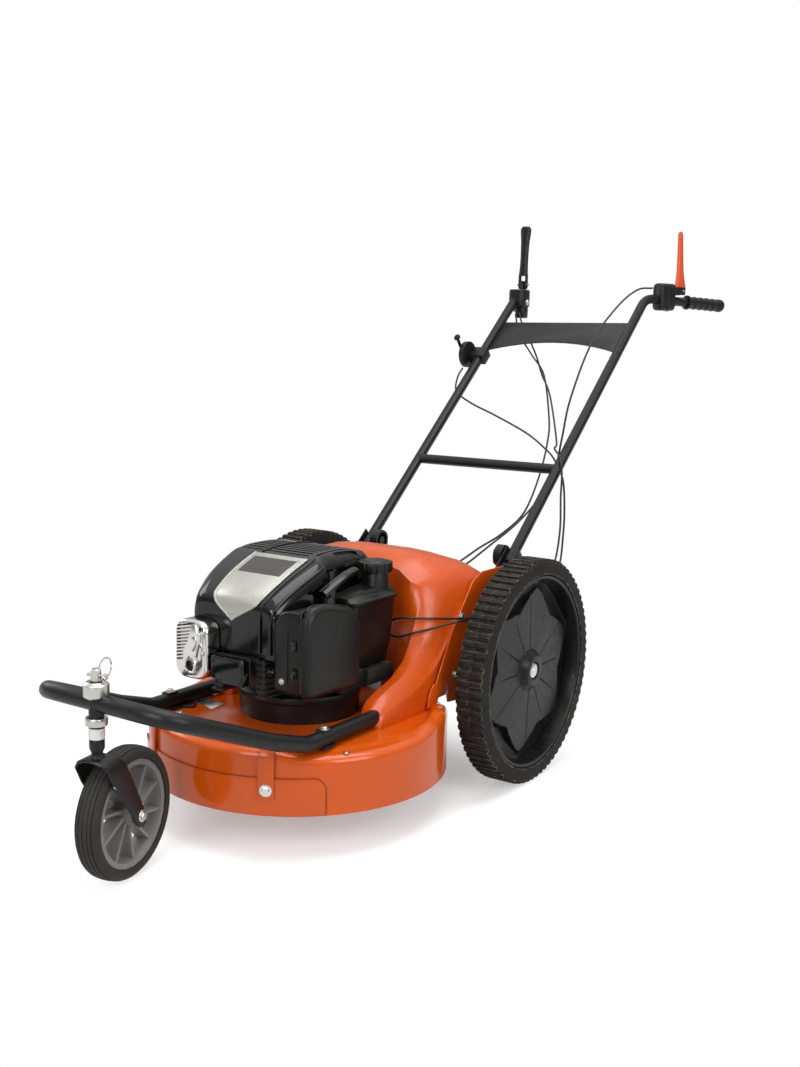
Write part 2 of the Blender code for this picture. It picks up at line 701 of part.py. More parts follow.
def drive_train():
    profile = v_pulley(ENGINE_PULLEY_R, (
        [(0.0, CRANK_TOP), (0.008, CRANK_TOP), (0.008, FLYWHEEL_Z + 0.02), (CRANK_R, FLYWHEEL_Z - GAP),
         (CRANK_R, BELT_Z + PULLEY_HALF)],
        [(CRANK_R, BELT_Z - PULLEY_HALF), (CRANK_R, CRANK_LOW), (0.0, CRANK_LOW)]))
    finished(turned(profile, (0.0, DECK_Y, 0.0), steps=18), "crankshaft", STEEL, (0.0, DECK_Y, BELT_Z))

    shaft_r = 0.008
    profile = v_pulley(GEAR_PULLEY_R, (
        [(0.0, 0.268), (shaft_r, 0.268), (shaft_r, BELT_Z + PULLEY_HALF)],
        [(0.014, BELT_Z - PULLEY_HALF), (0.014, BELT_Z - 0.014), (0.0, BELT_Z - 0.014)]))
    finished(turned(profile, (0.0, GEAR_PULLEY_Y, 0.0), steps=18), "gearbox_pulley", STEEL,
             (0.0, GEAR_PULLEY_Y, BELT_Z))

    def loop(clear):
        """The outline of a belt face that runs at a distance inside the pulleys' rims."""
        small, large = ENGINE_PULLEY_R - clear, GEAR_PULLEY_R - clear
        span = GEAR_PULLEY_Y - DECK_Y
        lean = atan2(large - small, span)
        front = [(small * sin(a), DECK_Y - small * cos(a)) for a in
                 [(-pi / 2 + lean) + (pi - 2 * lean) * i / 12 for i in range(13)]]
        rear = [(large * cos(a), GEAR_PULLEY_Y + large * sin(a)) for a in
                [-lean + (pi + 2 * lean) * i / 14 for i in range(15)]]
        return front + rear

    belt = plate([loop(0.0002), loop(GROOVE - 0.0008)], 2 * BELT_HALF, Matrix.Translation((0.0, 0.0, BELT_Z)))
    finished(belt, "drive_belt", RUBBER)

    boss = turned([(0.0, CRANK_LOW - GAP), (CRANK_R + GAP, CRANK_LOW - GAP), (CRANK_R + GAP, 0.155),
                   (0.020, 0.155), (0.020, 0.128), (0.032, 0.124), (0.032, BLADE_Z + BLADE_T + GAP),
                   (0.0065, BLADE_Z + BLADE_T + GAP), (0.0065, BLADE_Z - GAP), (0.013, BLADE_Z - GAP),
                   (0.013, BLADE_Z - 0.010), (0.0, BLADE_Z - 0.010)], (0.0, DECK_Y, 0.0), steps=16)
    finished(boss, "blade_boss", STEEL, (0.0, DECK_Y, BLADE_Z))

    sections = []
    for place, lift in ((-1.0, 0.016), (-0.86, 0.016), (-0.74, 0.0), (-0.2, 0.0), (0.2, 0.0), (0.74, 0.0),
                        (0.86, 0.016), (1.0, 0.016)):
        x = place * BLADE_R * 0.985
        turn = 1 if place > 0 else -1
        sections.append([Vector((x, DECK_Y + turn * y, BLADE_Z + z)) for y, z in
                         ((-BLADE_W / 2, 0.0), (-BLADE_W / 2, BLADE_T / 2), (0.006, BLADE_T),
                          (BLADE_W / 2, BLADE_T + lift), (BLADE_W / 2 + 0.001, lift), (0.008, 0.0))])
    halves = [lofted(sections[4:]), lofted(sections[:4])]
    half = 0.2 * BLADE_R * 0.985 + 0.006
    middle = between((-half, DECK_Y - BLADE_W / 2 + 0.002, BLADE_Z), (half, DECK_Y + BLADE_W / 2 - 0.002,
                     BLADE_Z + BLADE_T))
    blade = joined(middle, *halves)
    hole = rod(0.0065 + GAP, (0.0, DECK_Y, BLADE_Z - 0.01), (0.0, DECK_Y, BLADE_Z + 0.01), 16)
    finished(cut(blade, hole), "blade", STEEL, (0.0, DECK_Y, BLADE_Z))


def gearbox():
    case = between((-0.055, -0.140, 0.2475), (0.055, -0.045, 0.370), 0.008)
    lobe = rod(0.040, (-0.058, 0.0, WHEEL_R), (0.058, 0.0, WHEEL_R), 28)
    bridge = between((-0.045, -0.070, 0.262), (0.045, 0.022, 0.322), 0.006)
    selector = rod(0.010, (0.040, -0.085, 0.365), (0.040, -0.085, 0.382), 16)
    case = joined(case, lobe, bridge, selector)
    axle_bore = rod(AXLE_R + RUN, (-0.1, 0.0, WHEEL_R), (0.1, 0.0, WHEEL_R), 16)
    shaft_bore = rod(0.008 + RUN, (0.0, GEAR_PULLEY_Y, 0.240), (0.0, GEAR_PULLEY_Y, 0.270), 16)
    return finished(cut(case, axle_bore, shaft_bore), "gearbox", CAST)


def chassis():
    outline = [(-0.250, 0.2455), (-0.206, 0.2455), (-0.195, 0.205), (0.060, 0.180), (0.105, 0.215),
               (0.130, 0.440), (0.112, 0.470), (-0.066, 0.470), (-0.104, 0.455), (-0.188, 0.352)]
    pieces = []
    for side in (-1, 1):
        pieces.append(plate([outline], PLATE_T, side_plane(side * (PLATE_X + PLATE_T / 2))))
        pieces.append(between((side * ARM_X - 0.010, -0.315, ARM_Z + FRAME_R + GAP),
                              (side * ARM_X + 0.010, CROSS_BAR_Y, ARM_Z + FRAME_R + GAP + 0.015)))
        pieces.append(rod(0.020, (side * (PLATE_X - 0.012), 0.0, WHEEL_R),
                          (side * (PLATE_X + PLATE_T + 0.010), 0.0, WHEEL_R), 14))
    reach = PLATE_X + 0.001
    bar = between((-reach, CROSS_BAR_Y - CROSS_BAR_W / 2, CROSS_BAR_LOW),
                  (reach, CROSS_BAR_Y + CROSS_BAR_W / 2, CROSS_BAR_LOW + CROSS_BAR_H))
    rear_tube = rod(0.0125, (-reach, 0.085, 0.285), (reach, 0.085, 0.285), 12)
    frame = joined(bar, rear_tube, *pieces)
    bearing = rod(AXLE_R + RUN, (-0.3, 0.0, WHEEL_R), (0.3, 0.0, WHEEL_R), 14)
    return finished(cut(frame, bearing), "chassis", ORANGE)


# The belt cover's profiles as (y, z), from its foot over the top to its rear edge. The first
# rows are the wall behind the engine, or on a leg its nose and its back. Row 10 is the rim.
COVER_MIDDLE = [(-0.217, 0.150), (-0.217, 0.190), (-0.217, 0.215), (-0.217, 0.235), (-0.217, 0.255),
                (-0.217, 0.280), (-0.217, 0.310), (-0.217, 0.350), (-0.217, 0.400), (-0.214, 0.450),
                (-0.206, 0.490), (-0.188, 0.506), (-0.150, 0.513), (-0.095, 0.508), (-0.040, 0.490),
                (0.010, 0.464), (0.066, 0.416), (0.104, 0.358), (0.120, 0.300), (0.120, 0.150)]
COVER_COVE = [(-0.226, 0.150), (-0.226, 0.190), (-0.226, 0.215), (-0.226, 0.235), (-0.226, 0.255),
              (-0.226, 0.280), (-0.226, 0.310), (-0.226, 0.350), (-0.226, 0.395), (-0.225, 0.440),
              (-0.219, 0.480), (-0.196, 0.498), (-0.152, 0.508), (-0.095, 0.504), (-0.040, 0.488),
              (0.010, 0.462), (0.065, 0.414), (0.103, 0.357), (0.119, 0.300), (0.119, 0.150)]
COVER_CREASE = [(-0.229, 0.150), (-0.229, 0.190), (-0.229, 0.215), (-0.229, 0.235), (-0.229, 0.255),
                (-0.229, 0.280), (-0.229, 0.310), (-0.229, 0.345), (-0.2295, 0.380), (-0.229, 0.425),
                (-0.2286, 0.4614), (-0.200, 0.481), (-0.154, 0.498), (-0.095, 0.499), (-0.040, 0.484),
                (0.010, 0.459), (0.064, 0.412), (0.102, 0.356), (0.118, 0.300), (0.118, 0.150)]
COVER_RIDGE = [(-0.433, 0.150), (-0.432, 0.216), (-0.4258, 0.2355), (-0.4128, 0.2480), (-0.3769, 0.2622),
               (-0.3308, 0.2741), (-0.2839, 0.3032), (-0.2636, 0.3328), (-0.2425, 0.3740), (-0.2311, 0.4114),
               (-0.2157, 0.4484), (-0.1961, 0.4652), (-0.152, 0.480), (-0.095, 0.488), (-0.040, 0.478),
               (0.010, 0.455), (0.063, 0.408), (0.100, 0.354), (0.116, 0.300), (0.116, 0.150)]
COVER_BACK = [(-0.440, 0.150), (-0.440, 0.216), (-0.433, 0.236), (-0.415, 0.250), (-0.380, 0.263),
              (-0.330, 0.279), (-0.285, 0.302), (-0.258, 0.327), (-0.234, 0.362), (-0.212, 0.400),
              (-0.188, 0.434), (-0.160, 0.455), (-0.125, 0.470), (-0.085, 0.475), (-0.040, 0.468),
              (0.010, 0.447), (0.062, 0.404), (0.098, 0.352), (0.114, 0.300), (0.114, 0.150)]
COVER_EDGE = [(-0.438, 0.150), (-0.438, 0.212), (-0.431, 0.228), (-0.415, 0.238), (-0.380, 0.246),
              (-0.330, 0.257), (-0.285, 0.271), (-0.254, 0.288), (-0.222, 0.314), (-0.192, 0.346),
              (-0.164, 0.382), (-0.138, 0.413), (-0.108, 0.438), (-0.076, 0.450), (-0.036, 0.450),
              (0.010, 0.436), (0.060, 0.398), (0.096, 0.350), (0.112, 0.300), (0.112, 0.150)]
COVER_INNER = [(0.060, COVER_MIDDLE), (0.112, COVER_COVE), (0.147, COVER_CREASE)]
COVER_RIDGE_X = 0.170
COVER_BACK_X = 0.194
COVER_EDGE_X = 0.214
COVER_WALL_X = 0.2215
COVER_WALL_DROP = 0.012
COVER_LOW = 0.150
COVER_FLOOR = DECK_TOP + GAP
BELT_WAY = 0.070
RIM_WAY_X = 0.1905


def cover_stations():
    """Rows of points from the cover's middle to its left side wall."""
    rows = []
    for x, profile in COVER_INNER:
        rows.append([Vector((x, y, z)) for y, z in profile])
    across = []
    for (y0, z0), (y1, z1), (y2, z2) in zip(COVER_RIDGE, COVER_BACK, COVER_EDGE):
        drop = min(COVER_WALL_DROP, z2 - COVER_LOW)
        rounded = smooth_path([(COVER_RIDGE_X, y0, z0), (COVER_BACK_X, y1, z1), (COVER_EDGE_X, y2, z2),
                               (COVER_WALL_X, y2 + 0.001, z2 - drop)], 2)
        across.append(rounded)
    rows += [list(row) for row in zip(*across)]
    rows.append([Vector((COVER_WALL_X, point.y, COVER_LOW)) for point in rows[-1]])
    return rows


def belt_cover():
    """One pressed shell: the dome, the wall behind the engine and the two legs that run down to the deck."""
    left = cover_stations()
    middle = [Vector((0.0, y, z)) for y, z in COVER_MIDDLE]
    right = [[Vector((-p.x, p.y, p.z)) for p in row] for row in left]
    shell = sheet(left[::-1] + [middle] + right, SHELL_T)
    shell.modifiers.new("triangles", "TRIANGULATE")
    floor = between((-0.3, -0.6, 0.10), (0.3, 0.3, COVER_FLOOR))
    belt_way = between((-BELT_WAY, -0.30, 0.12), (BELT_WAY, 0.3, 0.262))
    rear = between((-0.3, -0.198, 0.12), (0.3, 0.3, 0.3025))
    cutters = [rear, belt_way]
    for route in (DRIVE_ROUTE, CLUTCH_ROUTE):
        cutters.append(tube(smooth_path(route, 2)[-11:], CABLE_R + RUN, 1))
    for side in (-1, 1):
        cutters.append(between((side * RIM_WAY_X - 0.0405, -0.2570, 0.12),
                               (side * RIM_WAY_X + 0.0405, 0.3, 0.2415)))
        cutters.append(rod(FRAME_R + 0.0012, (side * ARM_X, -0.50, ARM_Z), (side * ARM_X, -0.405, ARM_Z), 14))
    cutters.append(floor)
    return finished(cut(shell, *cutters), "belt_cover", ORANGE)


def engine_block():
    case = turned([(CASE_R, CASE_TOP), (CASE_R, ENGINE_Z + 0.012), (0.110, ENGINE_Z + 0.010),
                   (0.110, ENGINE_Z), (CRANK_R + 0.001, ENGINE_Z), (CRANK_R + 0.001, CASE_TOP)],
                  (0.0, DECK_Y, 0.0), steps=28, ring=True)
    barrel = between((-CYL_HALF + 0.006, CYL_FRONT_Y + 0.002, CYL_LOW + 0.006),
                     (CYL_HALF - 0.006, DECK_Y - 0.055, CYL_TOP - 0.006))
    fins = []
    for i in range(5):
        y = CYL_FRONT_Y + 0.002 + 0.018 * i
        reach = CYL_HALF if i < 2 else FIN_REACH
        fins.append(between((-reach, y - 0.0015, CYL_LOW), (CYL_HALF, y + 0.0015, CYL_TOP)))
    filler = tube(filleted([(0.040, FILLER_Y + 0.020, 0.330), (FILLER_X, FILLER_Y, 0.340),
                            (FILLER_X, FILLER_Y, FILLER_TOP)], 0.025, 2), 0.011)
    stay = between((0.078, -0.345, 0.348), (0.083, -0.252, 0.3640))
    side = between((0.020, -0.350, 0.345), (0.083, -0.338, 0.3640))
    block = joined(case, barrel, filler, stay, side, *fins)
    stick_bore = rod(0.0045, (FILLER_X, FILLER_Y, 0.370), (FILLER_X, FILLER_Y, FILLER_TOP + 0.01), 12)
    plug_bore = rod(0.0075, (0.024, -0.579, 0.324), (0.060, -0.579, 0.324), 12)
    return finished(cut(block, stick_bore, plug_bore), "engine_block", CAST)


def engine_small_parts():
    under = SHROUD_LIP - 0.0015
    cover = between((-0.049, CYL_FRONT_Y - 0.0222, under - 0.058), (0.038, CYL_FRONT_Y + 0.0005 - GAP, under), 0.006)
    finished(cover, "rocker_cover", BLACK_PLASTIC)

    plug = turned([(0.0, 0.040), (0.004, 0.040), (0.004, 0.030), (0.009, 0.030), (0.009, 0.018), (0.0105, 0.018),
                   (0.0105, 0.010), (0.006, 0.010), (0.006, 0.0), (0.0, 0.0)],
                  (0.0305, -0.579, 0.324), (1.0, 0.0, 0.0), 12)
    finished(plug, "spark_plug", STEEL)

    body = between((-0.146, -0.6375 + GAP, 0.304), (-0.078, -0.6065, 0.402), 0.006)
    neck = between((-0.128, -0.610, under - 0.040), (-0.082, -0.5655, under), 0.005)
    elbow = rod(0.012, (-0.090, -0.5745, under - 0.020), (-CYL_HALF - GAP, -0.5745, under - 0.020), 16)
    finished(joined(body, neck, elbow), "muffler", STEEL)

    shell = between((-0.156, -0.640, 0.296), (-0.068, -0.6025, 0.410), 0.012)
    hollow = between((-0.1535, -0.6375, 0.2985), (-0.0705, -0.600, 0.4075), 0.009)
    slots = [between((-0.160, -0.645, 0.322 + 0.0125 * i), (-0.122, -0.615, 0.328 + 0.0125 * i))
             for i in range(6)]
    outlet = rod(0.011, (-0.126, -0.66, 0.3105), (-0.126, -0.60, 0.3105), 16)
    finished(cut(shell, hollow, outlet, *slots), "muffler_guard", CHROME)

    carb = rod(0.016, (CYL_HALF + GAP, -0.545, 0.336), (0.0952, -0.545, 0.336), 16)
    bowl = rod(0.017, (0.064, -0.545, 0.300), (0.064, -0.545, 0.330), 16)
    finished(joined(carb, bowl), "carburettor", CAST)

    plan = [(0.0865, FILTER_FRONT_Y), (FILTER_X - 0.008, FILTER_FRONT_Y), (FILTER_X, FILTER_FRONT_Y + 0.008),
            (FILTER_X, -0.500), (0.1015, -0.500), (0.1000, -0.530), (0.0925, -0.589), (0.0865, -0.598)]
    base = plate([plan], 0.157, Matrix.Translation((0.0, 0.0, 0.3765)))
    throat = rod(0.012, (0.080, -0.545, 0.336), (0.16, -0.545, 0.336), 16)
    finished(cut(base, throat), "air_filter_base", BLACK_PLASTIC)

    wall = [(FILTER_FRONT_Y, 0.300), (FILTER_FRONT_Y + 0.010, 0.288), (FILTER_REAR_Y - 0.012, 0.286),
            (FILTER_REAR_Y, 0.298), (FILTER_REAR_Y, 0.412), (FILTER_REAR_Y - 0.012, 0.434),
            (FILTER_REAR_Y - 0.034, 0.450), (FILTER_FRONT_Y + 0.050, 0.466), (FILTER_FRONT_Y + 0.020, 0.462),
            (FILTER_FRONT_Y, 0.442)]
    middle = Vector((-0.5185, 0.372))

    def ring_at(x, shrink):
        return [Vector((x, middle.x + (y - middle.x) * (1 - shrink), middle.y + (z - middle.y) * (1 - shrink)))
                for y, z in wall]

    outside = lofted([ring_at(FILTER_X + 0.0008, 0.0), ring_at(FILTER_X + 0.014, 0.0),
                      ring_at(FILTER_X + 0.022, 0.09)])
    inside = lofted([ring_at(FILTER_X - 0.004, 0.05), ring_at(FILTER_X + 0.013, 0.05),
                     ring_at(FILTER_X + 0.0195, 0.13)])
    finished(cut(outside, inside), "air_filter_cover", BLACK_PLASTIC, (FILTER_X + 0.003, -0.5185, 0.289))
    element = between((FILTER_X + GAP, -0.585, 0.312), (FILTER_X + 0.0165, -0.505, 0.430), 0.002)
    finished(element, "air_filter_element", FOAM)


def fuel_system():
    low, waist, seam, top = 0.300, 0.350, 0.442, 0.472

    def level(z, grow, front_drop=0.0, round_by=0.014):
        x0, x1, y0, y1 = TANK_X0 - grow * 0.2, TANK_X1 + grow, TANK_Y0 - grow * 0.2, TANK_Y1 + grow * 0.1
        corners = [(x1 - round_by, y0), (x1, y0 + round_by), (x1, y1 - round_by), (x1 - round_by, y1),
                   (x0 + round_by, y1), (x0, y1 - round_by), (x0, y0 + round_by), (x0 + round_by, y0)]
        return [Vector((x, y, z - front_drop * (y1 - y) / (y1 - y0))) for x, y in corners]

    tank = lofted([level(low, -0.018), level(waist, -0.008), level(seam - 0.006, 0.0), level(seam - 0.002, 0.006),
                   level(seam + 0.003, 0.006), level(seam + 0.006, 0.000), level(seam + 0.016, -0.006, 0.006),
                   level(top, -0.018, 0.018)])
    neck = rod(NECK_R, (NECK_X, NECK_Y, top - 0.02), (NECK_X, NECK_Y, CAP_Z - GAP), 28)
    tank = joined(tank, neck)
    well = rod(0.017, (NECK_X, NECK_Y, top - 0.03), (NECK_X, NECK_Y, CAP_Z + 0.01), 16)
    finished(cut(tank, well), "fuel_tank", BLACK_PLASTIC)

    grips = 10
    edge = []
    for i in range(grips):
        for share, r in ((-0.3, CAP_R), (0.3, CAP_R), (0.5, CAP_R - 0.003)):
            a = 2 * pi * (i + share) / grips
            edge.append((r * cos(a), r * sin(a)))
    cap = plate([edge], 0.020, Matrix.Translation((NECK_X, NECK_Y, CAP_Z + 0.010)))
    crown = turned([(0.0, 0.024), (0.024, 0.0235), (0.029, 0.019), (0.0, 0.019)],
                   (NECK_X, NECK_Y, CAP_Z), steps=16)
    stopper = rod(0.015, (NECK_X, NECK_Y, CAP_Z - 0.012), (NECK_X, NECK_Y, CAP_Z + 0.004), 16)
    finished(joined(cap, crown, stopper), "fuel_cap", BLACK_PLASTIC, (NECK_X, NECK_Y, CAP_Z))

    head = rod(0.013, (FILLER_X, FILLER_Y, FILLER_TOP + GAP), (FILLER_X, FILLER_Y, FILLER_TOP + 0.014), 16)
    arch = smooth_path([(-0.024, 0.004), (-0.004, 0.012), (0.030, 0.024), (0.062, 0.034), (0.084, 0.038)], 2)
    bands = []
    for point in arch:
        y, z = FILLER_Y + point.x, FILLER_TOP + point.y
        bands.append([Vector((FILLER_X + x, y - lift * 0.35, z + lift)) for x, lift in
                      ((-0.011, 0.0), (-0.011, 0.006), (-0.005, 0.010), (0.005, 0.010), (0.011, 0.006), (0.011, 0.0))])
    grip = lofted(bands)
    stick = rod(0.003, (FILLER_X, FILLER_Y, 0.380), (FILLER_X, FILLER_Y, FILLER_TOP + 0.004), 10)
    finished(joined(head, grip, stick), "dipstick", GLOSS_PLASTIC, (FILLER_X, FILLER_Y, FILLER_TOP))


# The blower housing's sections as (y, left x, right x, top z)
SHROUD = [(-0.600, -0.115, 0.084, 0.442), (-0.590, -0.128, 0.090, 0.464), (-0.530, -0.150, 0.098, 0.499),
          (-0.460, -0.163, 0.1005, 0.526), (-0.436, -0.165, 0.0835, 0.531), (-0.400, -0.165, 0.0835, 0.535),
          (-0.330, -0.163, 0.080, 0.534), (-0.275, -0.148, 0.074, 0.524), (-0.250, -0.122, 0.060, 0.508)]


def shroud_low(y):
    return along([(-0.590, SHROUD_LIP), (-0.530, SHROUD_LOW)], y)


def shroud_section(y, left, right, top):
    return [(left, y, shroud_low(y)), (left, y, top - 0.034), (left + 0.009, y, top - 0.010),
            (left + 0.030, y, top), (right - 0.030, y, top), (right - 0.009, y, top - 0.010),
            (right, y, top - 0.034), (right, y, shroud_low(y))]


def inset(points, distance):
    """An open path in a plane, moved square to its runs by a distance to its right-hand side."""
    moved_points = []
    for i, point in enumerate(points):
        before = Vector(points[max(i - 1, 0)])
        after = Vector(points[min(i + 1, len(points) - 1)])
        point = Vector(point)
        runs = [run.normalized() for run in (point - before, after - point) if run.length > WELD]
        run = (runs[0] + runs[-1]).normalized()
        spread = max(runs[0].dot(run), 0.5)
        moved_points.append((point.x + run.y * distance / spread, point.y - run.x * distance / spread))
    return moved_points


def blower_housing():
    rows = [[Vector(point) for point in shroud_section(*station)] for station in SHROUD]
    front = [Vector((p.x, p.y, SHROUD_LIP)) for p in rows[0]]
    rear = [Vector((p.x, p.y, SHROUD_LOW)) for p in rows[-1]]
    housing = sheet([front] + rows + [rear], SHELL_T)
    slots = []
    for i in range(7):
        x = -0.118 + 0.025 * i
        slots.append(between((x - 0.004, -0.430, 0.500), (x + 0.004, -0.290, 0.560)))
    finished(cut(housing, *slots), "engine_shroud", GLOSS_PLASTIC)

    path = [(SHROUD[3][0], SHROUD[3][3]), (SHROUD[2][0], SHROUD[2][3]), (SHROUD[1][0], SHROUD[1][3]),
            (SHROUD[0][0], SHROUD[0][3]), (SHROUD[0][0], 0.416)]
    widths = [(-0.085, 0.055), (-0.082, 0.055), (-0.074, 0.046), (-0.066, 0.040), (-0.022, -0.018)]

    inner, outer = inset(path, 2 * GAP), inset(path, 2 * GAP + 0.002)
    sections = []
    for (left, right), (y0, z0), (y1, z1) in zip(widths, inner, outer):
        sections.append([Vector((left, y0, z0)), Vector((right, y0, z0)), Vector((right, y1, z1)),
                         Vector((left, y1, z1))])
    finished(lofted(sections), "shroud_panel", SILVER_PLASTIC)

    vanes = []
    wheel = turned([(FLYWHEEL_R, FLYWHEEL_Z + 0.014), (FLYWHEEL_R, FLYWHEEL_Z), (0.0135, FLYWHEEL_Z),
                    (0.009, FLYWHEEL_Z + 0.020), (0.030, FLYWHEEL_Z + 0.020), (0.034, FLYWHEEL_Z + 0.014)],
                   (0.0, DECK_Y, 0.0), steps=24, ring=True)
    for i in range(8):
        turn = Matrix.Rotation(2 * pi * i / 8, 3, "Z")
        vanes.append(box((0.034, 0.003, 0.026), Vector((0.0, DECK_Y, FLYWHEEL_Z + 0.024)) +
                         turn @ Vector((0.055, 0.0, 0.0)), 0.0, turn))
    finished(joined(wheel, *vanes), "flywheel", CAST, (0.0, DECK_Y, FLYWHEEL_Z))

    seat = Vector((-0.1640, -0.345, 0.470))
    stem = rod(0.007, seat, seat + Vector((-0.018, 0.0, 0.0)), 12)
    bar = rod(0.010, seat + Vector((-0.020, -0.040, 0.0)), seat + Vector((-0.020, 0.040, 0.0)), 16)
    finished(joined(bar, stem), "starter_grip", BLACK_PLASTIC, seat)


def up_slope(x, s, off=0.0):
    """A point at a distance s up the handlebar's slope from its pivot, off it at right angles."""
    return Vector((x, PIVOT_Y + s * cos(SLOPE) - off * sin(SLOPE), PIVOT_Z + s * sin(SLOPE) + off * cos(SLOPE)))


def grip_axis():
    return (GRIP_END - BEND).normalized()


def left_bar(radius):
    """The left tube of the handlebar, or with a larger radius the cutter that clears it."""
    path = filleted([up_slope(BAR_X, -0.018), BEND, GRIP_END - grip_axis() * 0.004], 0.060, 5)
    return tube(path, radius)


def handlebar():
    left = left_bar(BAR_R)
    right = mirrored(left)
    bar = rod(BAR_R, up_slope(-BAR_X, CROSSBAR_S), up_slope(BAR_X, CROSSBAR_S), 12)
    frame = joined(bar, left, right)
    bolt_hole = rod(FOLD_BOLT_R + RUN, (-0.3, PIVOT_Y, PIVOT_Z), (0.3, PIVOT_Y, PIVOT_Z), 16)
    pivot = (0.0, PIVOT_Y, PIVOT_Z)
    finished(cut(frame, bolt_hole), "handlebar", BLACK_STEEL, pivot)

    inner = BAR_X - BAR_R - GAP
    arch = []
    for i in range(13):
        x = inner * (1 - 2 * i / 12)
        arch.append((x, PLATE_MID_S - (PLATE_MID_S - PLATE_LOW_S) * (x / inner) ** 2))
    outline = [(-inner, PLATE_TOP_S), (inner, PLATE_TOP_S)] + arch
    lay = Matrix.Translation((0.0, PIVOT_Y, PIVOT_Z)) @ Matrix.Rotation(SLOPE, 4, "X")
    finished(plate([outline], 0.003, lay), "handlebar_plate", GREY_PLASTIC, pivot)

    toe = GRIP_END - grip_axis() * GRIP_L
    profile = [(0.0, GRIP_L), (0.012, GRIP_L), (GRIP_R, GRIP_L - 0.003)]
    for i in range(4):
        z = GRIP_L - 0.014 - 0.028 * i
        profile += [(GRIP_R, z), (GRIP_R - 0.002, z - 0.008), (GRIP_R - 0.002, z - 0.018)]
    profile += [(GRIP_R + 0.002, 0.002), (GRIP_R + 0.002, 0.0), (GRIP_BORE_R, 0.0), (GRIP_BORE_R, GRIP_L - 0.0035),
                (0.0, GRIP_L - 0.0035)]
    left = turned(profile, toe, grip_axis(), 12)
    right = mirrored(left)
    finished(left, "grip_left", BLACK_PLASTIC, pivot)
    finished(right, "grip_right", BLACK_PLASTIC, pivot)


LEFT_LEVER_AT = BEND + (GRIP_END - BEND).normalized() * 0.118 + Vector((0.0, 0.0, 0.029))
RIGHT_LEVER_AT = Vector((-0.190, 0.842, 1.142))


def lever_plane(side):
    """The horizontal direction of a grip, and the direction across it."""
    flat = Vector((side * grip_axis().x, grip_axis().y, 0.0)).normalized()
    return flat, Vector((flat.y, -flat.x, 0.0))


def levers():
    flat, across = lever_plane(1)
    turn = Matrix((across, flat, Vector((0.0, 0.0, 1.0)))).transposed()
    block = box((0.042, 0.050, 0.074), BEND + grip_axis() * 0.064 + Vector((0.0, 0.0, 0.008)), 0.004, turn)
    ears = [box((0.005, 0.048, 0.022), LEFT_LEVER_AT + across * shift - flat * 0.014, 0.0, turn)
            for shift in (-0.0115, 0.0115)]
    axis_pin = rod(0.003, LEFT_LEVER_AT - across * 0.016, LEFT_LEVER_AT + across * 0.016, 12)
    clamp = joined(block, axis_pin, *ears)
    fold = (0.0, PIVOT_Y, PIVOT_Z)
    finished(cut(clamp, left_bar(BAR_R + GAP)), "lever_clamp_left", BLACK_PLASTIC, fold)

    def blade_of(at, dir_flat, dir_across, widths, length, thick):
        """An upright lever lofted from its foot to its rounded tip."""
        sections = []
        for share, half, lean in widths:
            middle = at + Vector((0.0, 0.0, length * share)) + dir_flat * lean
            sections.append([middle + dir_across * half * a + dir_flat * thick / 2 * b
                             for a, b in ((-1, -0.5), (-0.6, -1), (0.6, -1), (1, -0.5), (1, 0.5), (0.6, 1),
                                          (-0.6, 1), (-1, 0.5))])
        return lofted(sections)

    shape = [(-0.045, 0.0070, 0.0), (0.0, 0.0082, 0.0), (0.16, 0.0085, -0.003), (0.30, 0.0095, -0.008),
             (0.60, 0.0080, -0.016), (0.92, 0.0072, -0.022), (1.0, 0.0045, -0.023)]
    lever = blade_of(LEFT_LEVER_AT, flat, across, shape, 0.160, 0.011)
    hole = rod(0.003 + RUN, LEFT_LEVER_AT - across * 0.03, LEFT_LEVER_AT + across * 0.03, 12)
    finished(cut(lever, hole), "drive_lever", LEVER_ORANGE, LEFT_LEVER_AT)

    flat, across = Vector((0.0, 1.0, 0.0)), Vector((1.0, 0.0, 0.0))
    at = RIGHT_LEVER_AT
    block = between((at.x - 0.0335, at.y - 0.030, 1.078), (at.x + 0.018, at.y + 0.020, 1.128), 0.004)
    tongue = between((at.x - 0.0060, at.y - 0.012, 1.120), (at.x + 0.0060, at.y + 0.012, at.z + 0.010))
    foot = between((at.x - 0.014, at.y - 0.024, 1.046), (at.x + 0.020, at.y + 0.006, 1.080), 0.003)
    axis_pin = rod(0.003, at - across * 0.018, at + across * 0.018, 12)
    clamp = joined(block, tongue, foot, axis_pin)
    finished(cut(clamp, mirrored_away(left_bar(BAR_R + GAP))), "lever_clamp_right", BLACK_PLASTIC, fold)

    shape = [(0.150, 0.0130, 0.0), (0.40, 0.0110, 0.002), (0.70, 0.0122, 0.004), (0.90, 0.0155, 0.006),
             (0.97, 0.0150, 0.006), (1.0, 0.0100, 0.006)]
    lever = blade_of(at, flat, across, shape, 0.168, 0.013)
    prongs = [between((at.x + side * 0.0105 - 0.003, at.y - 0.006, at.z - 0.006),
                      (at.x + side * 0.0105 + 0.003, at.y + 0.006, at.z + 0.030)) for side in (-1, 1)]
    hole = rod(0.003 + RUN, at - across * 0.03, at + across * 0.03, 12)
    finished(cut(joined(lever, *prongs), hole), "stop_lever", BLACK_PLASTIC, at)


def mirrored_away(obj):
    other = mirrored(obj)
    bpy.data.objects.remove(obj, do_unlink=True)
    return other


THROTTLE_AT = Vector((-0.2265, 0.612, 0.938))


